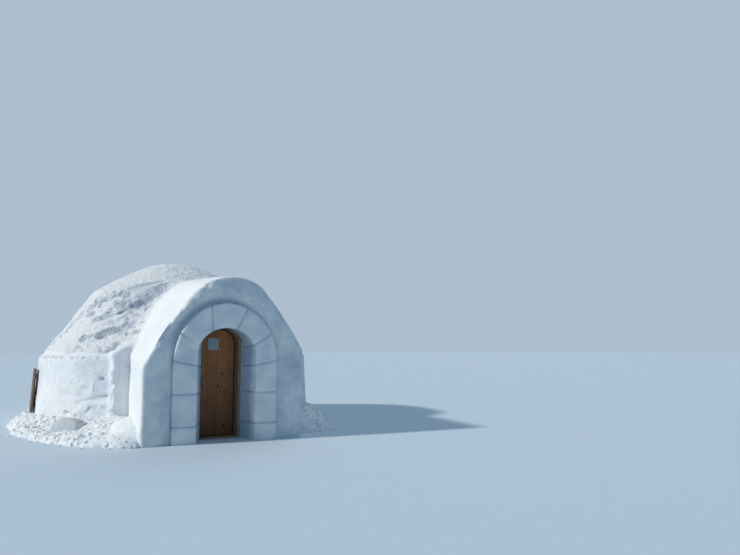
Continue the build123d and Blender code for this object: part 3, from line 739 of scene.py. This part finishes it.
block_snow = snow_material("block_snow", 1.0, 0.7)
rng = random.Random(11)
melted_blocks = [sunk_copy([name], name + "_melt") for name in BLOCK_NAMES]
melt(melted_blocks, BLOCK_VOXEL, 9)
for name, melted in zip(BLOCK_NAMES, melted_blocks):
    forward = rng.uniform(-0.010, 0.002)
    seed = rng.uniform(20, 60)
    neighbours = tree_of([other for other in BLOCK_NAMES + PORCH_NODES if other != name])
    move_points(melted.data, lambda point, normal: swollen(point, normal, forward, seed, neighbours))
    block = level_slice(melted, name + "_snow", 0.0)
    # Painted blue shade on the blocks: mottled all over, deepening into the reveal of the passage and at the
    # joints.
    deep = [0.15 + 0.5 * wavy(v.co, 0.25, 41) + 0.9 * ramp(v.co.y, front_y + 0.02, front_y + 0.22)
            + (0.36 + 0.3 * wavy(v.co, 0.3, 43)) * joint_share(v.co, neighbours) for v in block.data.vertices]
    set_tone(block.data, "deep", [min(max(value, 0.0), 1.0) for value in deep])
    bpy.data.objects.remove(melted)
    block.data.materials.append(block_snow)
    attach(block, "root")
    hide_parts(name)

# Loose snow at the foot: shovelled and crumbled off the wall, from dust to lumps the size of a fist
# and some like a head. It lies in a bank round the dome, and in heaps beside the porch.
BANK_VOXEL = 0.024
LUMP_SHAPES = 7
BASKET = 50                 # lumps that are added at a time
LUMP_SMALLEST = 0.011       # half of what the smallest lump measures
LUMP_SPREAD = 0.050         # and how much larger the largest is
FULL_TURN = 6.28
TOE_REACH = 0.16            # how far beyond the toe of a bank its lumps have rolled
LUMPS = {"left_bank": 1300, "rear_bank": 420, "right_bank": 420}
SMOOTH_MOUND = Vector((-1.45, front_y + 0.50, 0.2))
SLAB_TURN = math.radians(48)        # the fallen slab is turned this far, towards the porch
SLAB_FREE_WIDTH = 0.30      # no lump hides the slab within this distance of its middle
SLAB_FREE_DEPTH = 0.5
SLAB_FREE_HEIGHT = 0.12
# Mounds that the shovels have left: place beside the door and behind the front, half width, half
# length and height.
MOUNDS = {
    "left_bank": [
        (-1.38, 0.90, 0.42, 0.75, 0.40), (-1.50, 0.50, 0.42, 0.50, 0.22), (-1.80, 0.72, 0.42, 0.46, 0.17),
        (-2.05, 1.05, 0.45, 0.45, 0.19), (-2.35, 1.45, 0.36, 0.40, 0.15), (-2.60, 1.85, 0.30, 0.36, 0.13),
        (-2.78, 2.30, 0.28, 0.34, 0.15), (-2.90, 2.75, 0.26, 0.34, 0.17),
    ],
    "rear_bank": [],
    "right_bank": [(1.50, 0.95, 0.30, 0.40, 0.22)],
}
along_slab = Vector((math.cos(SLAB_TURN), -math.sin(SLAB_TURN), 0))
behind_slab = Vector((math.sin(SLAB_TURN), math.cos(SLAB_TURN), 0))


def heaped(x, behind_front, across, along, height):
    """Where a round heap of a mound's sizes stands."""
    return Matrix.Translation((x, front_y + behind_front, 0)) @ Matrix.Diagonal((across, along, height, 1))


def crumbled(point, normal, seed):
    """How a bank is roughened at a point: little where it was patted smooth beside the porch."""
    rough = 0.25 + 0.75 * ramp((point - SMOOTH_MOUND).length, 0.3, 0.7)
    offset = 0.034 * wavy(point, 0.26, seed) + 0.040 * abs(wavy(point, 0.12, seed + 1)) - 0.014
    offset += 0.016 * wavy(point, 0.055, seed + 2)
    return normal * (offset * rough)


def lump_shape(seed):
    """One broken lump of few faces: a cube cut once each way, swollen and roughened."""
    bm = bmesh.new()
    bmesh.ops.create_cube(bm, size=1.4)
    bmesh.ops.subdivide_edges(bm, edges=bm.edges, cuts=1, use_grid_fill=True)
    for vertex in bm.verts:
        vertex.co = vertex.co.lerp(vertex.co.normalized(), 0.65)
        vertex.co *= 1 + 0.45 * noise.noise(vertex.co * 1.1 + Vector((3.1 * seed, seed, -seed)))
    for face in bm.faces:
        face.smooth = True
    return mesh_from(bm)


def lump_place(place, size, rng):
    """A lump's turn and stretch at a place, by chance."""
    axis_angle = rng.uniform(0, FULL_TURN)
    turn = Matrix.Rotation(axis_angle, 4, Vector((rng.random(), rng.random(), rng.random() + 0.1)))
    stretch = Matrix.Diagonal((rng.uniform(0.7, 1.3), rng.uniform(0.7, 1.2), rng.uniform(0.5, 0.9), 1))
    return Matrix.Translation(place) @ turn @ Matrix.Scale(size, 4) @ stretch


def before_slab(place, size):
    """Whether a lump would hide the face of the fallen slab."""
    gap = place - sum(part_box("fallen_slab"), Vector()) / 2
    in_front = abs(gap.dot(along_slab)) < SLAB_FREE_WIDTH and -SLAB_FREE_DEPTH < gap.dot(behind_slab) < 0
    return in_front and place.z + size > SLAB_FREE_HEIGHT


def lie_on(bank, count, rng):
    """Places for lumps on a bank and just beyond its toe, as pairs of shape and matrix."""
    tree = surface_tree(bank.data)
    low = Vector(map(min, *[v.co for v in bank.data.vertices]))
    high = Vector(map(max, *[v.co for v in bank.data.vertices]))
    found = []
    while len(found) < count:
        start = Vector((rng.uniform(low.x, high.x), rng.uniform(low.y, high.y), 2))
        size = LUMP_SMALLEST + LUMP_SPREAD * rng.random() ** 3.5
        hit = tree.ray_cast(start, Vector((0, 0, -1)))[0]
        if hit is None:
            hit = Vector((start.x, start.y, 0))
            too_far = tree.find_nearest(hit)[3] > TOE_REACH * rng.random()
            if too_far or math.hypot(hit.x, hit.y - DOME_Y) < DOME_RADIUS:
                continue
            size *= 0.8
        if (hit - SMOOTH_MOUND).length > rng.uniform(0.3, 0.7) and not before_slab(hit, size):
            pressed_in = hit - Vector((0, 0, size * 0.35))
            found.append((rng.choice(lump_shapes), lump_place(pressed_in, size, rng)))
    return found


def with_lumps(mesh, lumps):
    """Adds lumps to a mesh, a basketful at a time."""
    bm = bmesh.new()
    bm.from_mesh(mesh)
    for first in range(0, len(lumps), BASKET):
        basket = bmesh.new()
        for shape, place in lumps[first:first + BASKET]:
            lump = shape.copy()
            lump.transform(place)
            basket.from_mesh(lump)
            bpy.data.meshes.remove(lump)
        basketful = mesh_from(basket)
        bm.from_mesh(basketful)
        bpy.data.meshes.remove(basketful)
    for vertex in bm.verts:
        vertex.co.z = max(vertex.co.z, 0.0)
    bm.to_mesh(mesh)
    bm.free()


bank_snow = snow_material("loose_snow", 1.0, 1.0)
lump_shapes = [lump_shape(seed) for seed in range(LUMP_SHAPES)]
rng = random.Random(8)
heaps = {name: [heaped(*mound) for mound in MOUNDS[name]] for name in LUMPS}
melted_banks = [sunk_copy([name], name + "_melt", heaps[name]) for name in LUMPS]
melt(melted_banks, BANK_VOXEL, 3)
for number, (name, melted) in enumerate(zip(LUMPS, melted_banks)):
    move_points(melted.data, lambda point, normal: crumbled(point, normal, 30 + number))
    bank = level_slice(melted, name + "_rubble", 0.0)
    bpy.data.objects.remove(melted)
    with_lumps(bank.data, lie_on(bank, LUMPS[name], rng))
    crust = [0.35 * ramp((v.co - SMOOTH_MOUND).length, 0.4, 0.6) for v in bank.data.vertices]
    set_tone(bank.data, "crust", crust)
    bank.data.materials.append(bank_snow)
    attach(bank, "root")
    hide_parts(name)

# Fallen slab: a piece of trimmed wall that has slid down and stands in the bank, with its top edge
# broken to a slope.
SLAB_HALF_LENGTH = 0.31
SLAB_VOXEL = 0.016
slab_low, slab_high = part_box("fallen_slab")
slab_middle = (slab_low + slab_high) / 2
melted = sunk_copy(["fallen_slab"], "slab_melt")
melt([melted], SLAB_VOXEL, 26)


def broken_top(point, normal):
    """How a point of the slab moves: its top slopes to both ends, and all of it is a little uneven."""
    share = (point - slab_middle).dot(along_slab) / SLAB_HALF_LENGTH
    fall = 0.09 * ramp(-share, 0.1, 1.0) + 0.05 * ramp(share, 0.4, 1.0)
    drop = Vector((0, 0, -fall * max(point.z, 0) / slab_high.z))
    return drop + normal * (0.018 * wavy(point, 0.3, 3) + 0.006 * wavy(point, 0.08, 5))


move_points(melted.data, broken_top)
slab = level_slice(melted, "slab_snow", 0.0)
bpy.data.objects.remove(melted)
# The slab's upright faces take painted shade: greyer and bluer than its top. All of its snow is written
# darker, at 0.58 of the white.
shaded_upright = [1 - ramp(vertex.normal.z, 0.3, 0.7) for vertex in slab.data.vertices]
for tone, strength in (("grey_and_shade", 0.6), ("crust", 0.25), ("deep", 0.25)):
    set_tone(slab.data, tone, [strength * share for share in shaded_upright])
slab.data.materials.append(snow_material("slab_snow", 0.58, 0.8))
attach(slab, "root")
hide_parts("fallen_slab")

# Door lining: two posts, a curved head and a sill of planed softwood, wedged into the snow. The
# arrises are taken off by a plane, and the grain runs along each member.
ARRIS = 0.003
CURVE_ANGLE = math.radians(20)      # faces that meet under this angle are one curve
EDGE_ANGLE = math.radians(35)       # and over this one they meet in an edge
LINING_WOOD = (0.34, 0.24, 0.18, 1)
LINING_DARK = (0.13, 0.078, 0.052, 1)


def flatten(bm):
    """Joins the triangles of each flat face."""
    bmesh.ops.dissolve_limit(bm, angle_limit=math.radians(1), verts=bm.verts, edges=bm.edges)


def worked_copy(name):
    """A CAD piece as whole flat faces, ready to be cut and chamfered."""
    bm = merged_copy([name])
    flatten(bm)
    return bm


def break_edges(bm, width, segments=2):
    """Takes the sharpness off every hard edge, then shades the curves smooth and the flats flat."""
    shared = [edge for edge in bm.edges if len(edge.link_faces) == 2]
    hard = [edge for edge in shared if edge.calc_face_angle() > EDGE_ANGLE]
    bmesh.ops.bevel(bm, geom=hard, offset=width, segments=segments, profile=0.5, affect="EDGES",
                    clamp_overlap=True, material=-1)
    for face in bm.faces:
        face.smooth = True
    for edge in bm.edges:
        if len(edge.link_faces) == 2:
            edge.smooth = edge.calc_face_angle() < CURVE_ANGLE


def along_grain(tree, place, along):
    """The place drawn together along one axis, for patterns that run with the grain."""
    stretch = {"x": (0.06, 1, 1), "y": (1, 0.06, 1), "z": (1, 1, 0.06)}[along]
    return node(tree, "ShaderNodeMapping", {"Vector": place, "Scale": stretch}).outputs["Vector"]


def wood_pattern(tree, grain_place, knotty=0.0):
    """Three patterns of softwood, each from 0 to 1: its broad growth, its lines and its fibres. Knots bend
    the lines."""
    broad = summed(tree, noise_at(tree, grain_place, 7, 3), 1.0, knotty, 0.16)
    rings = calculated(tree, "SINE", calculated(tree, "MULTIPLY", broad, 95.0), 0.0)
    fibres = noise_at(tree, grain_place, 190, 3, 0.6)
    late_wood, dark_fibres = scaled(tree, rings, 0.1, 1.0, 0, 0.55), scaled(tree, fibres, 0.45, 0.75, 0, 0.45)
    return broad, calculated(tree, "ADD", late_wood, dark_fibres), fibres


def finish_wood(tree, shader, colour, lines, fibres, rough):
    """Gives wood its colour, and the lines their relief and gloss."""
    feed(tree, shader, {
        "Base Color": colour,
        "Specular IOR Level": 0.25,
        "Normal": bumped(tree, summed(tree, lines, 0.6, fibres, 0.4), 0.5, 0.003),
        "Roughness": scaled(tree, lines, 0, 1, rough - 0.08, rough + 0.12),
    })


def wood_material(name, wood, dark, along="z", rough=0.62):
    """Softwood with its grain along one axis."""
    material, tree, shader = new_material(name)
    lines, fibres = wood_pattern(tree, along_grain(tree, object_place(tree), along))[1:]
    finish_wood(tree, shader, mixed(tree, lines, wood, dark), lines, fibres, rough)
    return material


def gathered(planks, label, material, chamfer, segments=2):
    """Breaks the edges of each plank, and ends them as one piece."""
    whole = bmesh.new()
    for bm in planks:
        break_edges(bm, chamfer, segments)
        plank = mesh_from(bm)
        whole.from_mesh(plank)
        bpy.data.meshes.remove(plank)
    return piece_from(whole, label, material)


post_wood = wood_material("post_wood", LINING_WOOD, LINING_DARK)
head_wood = wood_material("head_wood", LINING_WOOD, LINING_DARK, "x")
for name, wood in (("left_door_post", post_wood), ("right_door_post", post_wood), ("door_head", head_wood),
                   ("door_threshold", head_wood)):
    member = gathered([worked_copy(name)], name + "_planed", wood, ARRIS)
    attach(member, "root")
    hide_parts(name)

# Door leaf: four oiled pine boards with V joints, cut to the arch and held by three ledges nailed
# across the back. The boards are knotty; painted shade darkens them towards the snow, and a painted shadow
# runs round the rim.
BOARD_JOINTS = (-0.162, 0.014, 0.172)
V_JOINT = 0.004
LEDGE_CHAMFER = 0.006
OILED_PINE = (0.51, 0.215, 0.076, 1)
PINE_GRAIN = (0.23, 0.092, 0.038, 1)
# Painted shade towards the foot of the leaf.
FOOT_SHADE_PINE = (0.115, 0.048, 0.020, 1)
RUDDY_PINE = (0.36, 0.115, 0.045, 1)
KNOT_BLACK = (0.030, 0.012, 0.006, 1)
# Painted shadow of the gap round the leaf.
RIM_SHADOW_BLACK = (0.020, 0.012, 0.009, 1)
KNOT_WIDTH = 0.7            # of a knot's length
LEDGES_OF_LEAF = ("lower_ledge", "middle_ledge", "upper_ledge")
LEAF_SPRINGING = 1.640      # the head of the leaf is half an ellipse
# Each knot's x, height and size.
KNOTS = ((-0.063, 1.233, 0.009), (0.102, 1.100, 0.012), (0.032, 0.883, 0.013), (0.081, 0.778, 0.009),
         (0.156, 0.778, 0.009), (-0.185, 0.603, 0.010), (-0.030, 0.410, 0.012), (0.146, 0.195, 0.015),
         (-0.020, 0.113, 0.010), (-0.257, 0.888, 0.009), (-0.292, 0.480, 0.008), (0.125, 1.591, 0.008),
         (0.240, 1.320, 0.007), (-0.110, 1.420, 0.006), (0.260, 0.560, 0.008), (-0.225, 1.050, 0.006))
leaf_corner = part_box("door_leaf")[1]


def board_number(tree, across):
    """Which board a place lies on, counted from the left."""
    number = 0.0
    for joint in BOARD_JOINTS:
        number = calculated(tree, "ADD", number, calculated(tree, "GREATER_THAN", across, joint))
    return number


def knot_share(tree, parts):
    """1 in the knots and 0 away from them."""
    flat = {"X": parts["X"], "Z": calculated(tree, "MULTIPLY", parts["Z"], KNOT_WIDTH)}
    place = node(tree, "ShaderNodeCombineXYZ", flat).outputs["Vector"]
    share = 0.0
    for x, z, size in KNOTS:
        apart = vector_math(tree, "DISTANCE", place, (x, 0, KNOT_WIDTH * z))["Value"]
        share = calculated(tree, "MAXIMUM", share, scaled(tree, apart, 3.2 * size, 0.45 * size))
    return share


def rim_shadow_share(tree, parts):
    """How much painted shadow of the gap round the leaf a place takes, from 0 inside to 0.9 at the rim."""
    above = calculated(tree, "MAXIMUM", calculated(tree, "SUBTRACT", parts["Z"], LEAF_SPRINGING), 0.0)
    up = calculated(tree, "DIVIDE", above, leaf_corner.z - LEAF_SPRINGING)
    aside = calculated(tree, "DIVIDE", parts["X"], leaf_corner.x)
    return scaled(tree, summed(tree, aside, aside, up, up), 0.90, 0.96, 0, 0.9)


def board_material():
    """Oiled pine, each board cut from another part of the tree, with knots, painted shade towards its foot
    and a painted shadow round its rim.
    """
    material, tree, shader = new_material("door_boards")
    place = object_place(tree)
    parts = node(tree, "ShaderNodeSeparateXYZ", {"Vector": place}).outputs
    number = board_number(tree, parts["X"])
    knotty = knot_share(tree, parts)
    shift = {axis: calculated(tree, "MULTIPLY", number, far) for axis, far in (("X", 0.37), ("Z", 1.9))}
    shifted = node(tree, "ShaderNodeCombineXYZ", shift).outputs["Vector"]
    grain_place = vector_math(tree, "ADD", along_grain(tree, place, "z"), shifted)["Vector"]
    broad, lines, fibres = wood_pattern(tree, grain_place, knotty)
    wave = calculated(tree, "SINE", calculated(tree, "MULTIPLY", number, 2.3), 0.0)
    ruddy = scaled(tree, noise_at(tree, grain_place, 3.1, 2), 0.42, 0.66, 0, 0.55)
    level = calculated(tree, "ADD", parts["Z"], scaled(tree, broad, 0, 1, -0.25, 0.25))
    colour = OILED_PINE
    # The darkening towards the foot is painted shade, and the black rim is a painted shadow.
    for share, tint in ((lines, PINE_GRAIN), (scaled(tree, wave, -1, 1, 0, 0.30), PINE_GRAIN),
                        (ruddy, RUDDY_PINE), (scaled(tree, level, 1.5, 0.15, 0, 0.8), FOOT_SHADE_PINE),
                        (scaled(tree, knotty, 0.55, 0.85), KNOT_BLACK), (rim_shadow_share(tree, parts), RIM_SHADOW_BLACK)):
        colour = mixed(tree, share, colour, tint)
    finish_wood(tree, shader, colour, lines, fibres, 0.5)
    return material


def planks_of(name, joints, middle, across, gap=0.0, back=None):
    """Copies of a CAD board, each cut to one plank between two joints, measured across from a middle. A
    back plane, as a place and a direction, is cut first."""
    edges = (None,) + joints + (None,)
    for left, right in zip(edges, edges[1:]):
        bm = worked_copy(name)
        if back:
            trim(bm, *back)
        if left is not None:
            trim(bm, middle + across * (left + gap), -across)
        if right is not None:
            trim(bm, middle + across * (right - gap), across)
        flatten(bm)
        yield bm


ledge_wood = wood_material("ledge_wood", OILED_PINE, PINE_GRAIN, "x", 0.55)
leaf_planks = planks_of("door_leaf", BOARD_JOINTS, Vector(), Vector((1, 0, 0)))
boards = gathered(leaf_planks, "door_boards", board_material(), V_JOINT, 1)
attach(boards, "door")
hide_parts("door_leaf")
for name in LEDGES_OF_LEAF:
    ledge = gathered([worked_copy(name)], name + "_planed", ledge_wood, LEDGE_CHAMFER)
    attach(ledge, "door")
    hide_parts(name)

# Ironwork: strap hinges on the ledges, their pintles on the post, and the pull handle. All are black
# forged iron with the edges knocked back, and they are held by round-headed screws.
IRON = (0.040, 0.038, 0.040, 1)
RUST = (0.115, 0.052, 0.030, 1)
SCREW_RADIUS = 0.0055
FORGED_EDGE = 0.0012
STRAP_THICKNESS = 0.006     # the straps and the plates of the pintles are one bar
STRAP_SCREWS = (0.06, 0.34, 0.62)   # as shares of a strap's length
PINTLE_SCREWS = (0.014, 0.106)      # above a pintle's foot
PINTLE_SCREWS_ASIDE = 0.009
iron, iron_tree, iron_shader = new_material("forged_iron")
iron_place = object_place(iron_tree)
hammered = noise_at(iron_tree, iron_place, 70, 3)
rusty = scaled(iron_tree, noise_at(iron_tree, iron_place, 26, 5), 0.52, 0.72, 0, 0.7)
feed(iron_tree, iron_shader, {
    "Base Color": mixed(iron_tree, rusty, IRON, RUST),
    "Roughness": scaled(iron_tree, hammered, 0.3, 0.7, 0.42, 0.68),
    "Metallic": 0.6,
    "Normal": bumped(iron_tree, hammered, 0.35, 0.004),
})


def add_screws(bm, places, facing):
    """Round screw heads on a face that looks along y, one way or the other."""
    for x, y, z in places:
        seat = Matrix.Translation((x, y, z)) @ Matrix.Diagonal((1, 0.45, 1, 1))
        made = bmesh.ops.create_uvsphere(bm, u_segments=12, v_segments=8, radius=SCREW_RADIUS, matrix=seat)
        for vertex in made["verts"]:
            if (vertex.co.y - y) * facing < 0:
                vertex.co.y = y - 0.001 * facing


for name, body_name in (("lower_strap_hinge", "door"), ("upper_strap_hinge", "door"),
                        ("lower_pintle", "root"), ("upper_pintle", "root"), ("door_handle", "door")):
    bm = worked_copy(name)
    break_edges(bm, FORGED_EDGE)
    low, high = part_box(name)
    middle = (low + high) / 2
    screws = []
    if "strap" in name:
        screws = [(low.x + share * (high.x - low.x), middle.y + STRAP_THICKNESS / 2, middle.z)
                  for share in STRAP_SCREWS]
    elif "pintle" in name:
        post_low, post_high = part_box("right_door_post")
        screw_x = (post_low.x + post_high.x) / 2 + PINTLE_SCREWS_ASIDE
        screws = [(screw_x, post_high.y + STRAP_THICKNESS, low.z + rise) for rise in PINTLE_SCREWS]
    add_screws(bm, screws, 1)
    fitting = piece_from(bm, name + "_forged", iron)
    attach(fitting, body_name)
    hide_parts(name)

# Nails through the ledges: forged heads in rows on the outside of the boards, one over the other on
# each board at each ledge.
NAIL_COLUMNS = (-0.238, -0.074, 0.093, 0.232)
NAIL_RISES = (0.030, 0.080)
leaf_front_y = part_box("door_leaf")[0].y
nails = bmesh.new()
for level in LEDGES_OF_LEAF:
    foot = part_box(level)[0].z
    add_screws(nails, [(x, leaf_front_y, foot + rise) for x in NAIL_COLUMNS for rise in NAIL_RISES], -1)
nail_heads = piece_from(nails, "door_nails", iron)
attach(nail_heads, "door")

# Bare plate near the top of the door: thin enamelled sheet with round corners and a rolled edge,
# held by two screws.
PLATE_X, PLATE_Z = -0.065, 1.617
PLATE_WIDTH, PLATE_HEIGHT, PLATE_THICKNESS = 0.19, 0.21, 0.003
PLATE_CORNER = 0.014
PLATE_RIM = 0.006
SCREW_RISE = 0.088          # above and below the middle of the plate
ENAMEL = (0.30, 0.42, 0.45, 1)
ENAMEL_STAIN = (0.38, 0.42, 0.40, 1)
plate_size = Matrix.Diagonal((PLATE_WIDTH, PLATE_THICKNESS, PLATE_HEIGHT, 1))
plate_place = Matrix.Translation((PLATE_X, leaf_front_y - PLATE_THICKNESS / 2, PLATE_Z))
bm = bmesh.new()
bmesh.ops.create_cube(bm, size=1, matrix=plate_place @ plate_size)
corners = [edge for edge in bm.edges if abs(edge.verts[0].co.y - edge.verts[1].co.y) > 0.001]
bmesh.ops.bevel(bm, geom=corners, offset=PLATE_CORNER, segments=5, profile=0.5, affect="EDGES",
                clamp_overlap=True, material=-1)
face = min(bm.faces, key=lambda f: f.calc_center_median().y)
bmesh.ops.inset_region(bm, faces=[face], thickness=PLATE_RIM, depth=0.0)
bmesh.ops.inset_region(bm, faces=[face], thickness=0.002, depth=-0.0012)
plate_face = leaf_front_y - PLATE_THICKNESS
add_screws(bm, [(PLATE_X, plate_face, PLATE_Z + side * SCREW_RISE) for side in (-1, 1)], -1)
enamel, enamel_tree, enamel_shader = new_material("enamel")
stain = scaled(enamel_tree, noise_at(enamel_tree, object_place(enamel_tree), 18, 5), 0.45, 0.75, 0, 0.6)
feed(enamel_tree, enamel_shader, {
    "Base Color": mixed(enamel_tree, stain, ENAMEL, ENAMEL_STAIN),
    "Roughness": scaled(enamel_tree, stain, 0, 0.6, 0.28, 0.5),
})
plate = piece_from(bm, "door_plate", enamel)
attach(plate, "door")

# Side board: four planks on two battens, brown and worn by the weather, leaning on the wall at the far
# left with its foot in the loose snow.
BOARD_THICKNESS = 0.032
PLANK_JOINTS = (-0.14, 0.0, 0.14)
PLANK_GAP = 0.001           # each plank stands back this far from its joint
WEATHERED = (0.19, 0.125, 0.088, 1)
WEATHERED_DARK = (0.080, 0.052, 0.038, 1)
plank_wood = wood_material("plank_wood", WEATHERED, WEATHERED_DARK, "z", 0.75)
batten_wood = wood_material("batten_wood", WEATHERED, WEATHERED_DARK, "y", 0.75)
bm = worked_copy("side_board")
outer = max(bm.faces, key=lambda f: f.calc_area() if f.normal.x < -0.5 else 0)
outward = outer.normal.copy()
face_middle = outer.calc_center_median().copy()
across = Vector((0, 0, 1)).cross(outward).normalized()
bm.free()
seat = face_middle - outward * BOARD_THICKNESS
planks = planks_of("side_board", PLANK_JOINTS, face_middle, across, PLANK_GAP, (seat, -outward))
board = gathered(planks, "side_planks", plank_wood, ARRIS)
backing = planks_of("side_board", (), face_middle, across, back=(seat, outward))
battens = gathered(backing, "side_battens", batten_wood, ARRIS)
for piece in (board, battens):
    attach(piece, "root")
    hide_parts("side_board")

# Studio: a pale floor without an end, a pale blue-grey surround, a soft low key from the left and a
# weak fill from behind on the right.
FLOOR_COLOUR = (0.60, 0.69, 0.76, 1)
SURROUND = (0.42, 0.52, 0.62, 1)
SKY_LIGHT = (0.415, 0.68, 0.95, 1)
SKY_STRENGTH = 0.39
FLOOR_SIZE = 120
floor_finish, floor_tree, floor_shader = new_material("floor")
feed(floor_tree, floor_shader, {"Base Color": FLOOR_COLOUR, "Roughness": 0.9})
bm = bmesh.new()
bmesh.ops.create_grid(bm, x_segments=1, y_segments=1, size=FLOOR_SIZE)
floor = piece_from(bm, "floor", floor_finish)
world = bpy.data.worlds.new("studio")
scene.world = world
world.use_nodes = True
sky = world.node_tree
lit = feed(sky, sky.nodes["Background"], {"Color": SKY_LIGHT, "Strength": SKY_STRENGTH})
seen = node(sky, "ShaderNodeBackground", {"Color": SURROUND, "Strength": 1.0})
rays = node(sky, "ShaderNodeLightPath", {}).outputs
reflected = calculated(sky, "MAXIMUM", rays["Is Glossy Ray"], rays["Is Transmission Ray"])
shown = calculated(sky, "MAXIMUM", rays["Is Camera Ray"], reflected)
blend = node(sky, "ShaderNodeMixShader", {"Fac": shown, 1: lit.outputs[0], 2: seen.outputs[0]})
feed(sky, sky.nodes["World Output"], {"Surface": blend.outputs[0]})
# Each lamp's name, strength, angle in degrees, colour and direction.
LAMPS = (("key", 2.62, 3, (1.0, 0.955, 0.885), (0.86, -0.085, -0.51)),
         ("fill", 0.40, 40, (0.92, 0.96, 1.0), (-0.5, -0.62, -0.6)))
for name, energy, spread, colour, direction in LAMPS:
    lamp = bpy.data.objects.new(name, bpy.data.lights.new(name, "SUN"))
    lamp.data.energy = energy
    lamp.data.angle = math.radians(spread)
    lamp.data.color = colour
    lamp.rotation_euler = Vector(direction).to_track_quat("-Z", "Y").to_euler()
    scene.collection.objects.link(lamp)

scene.view_settings.view_transform = "Standard"
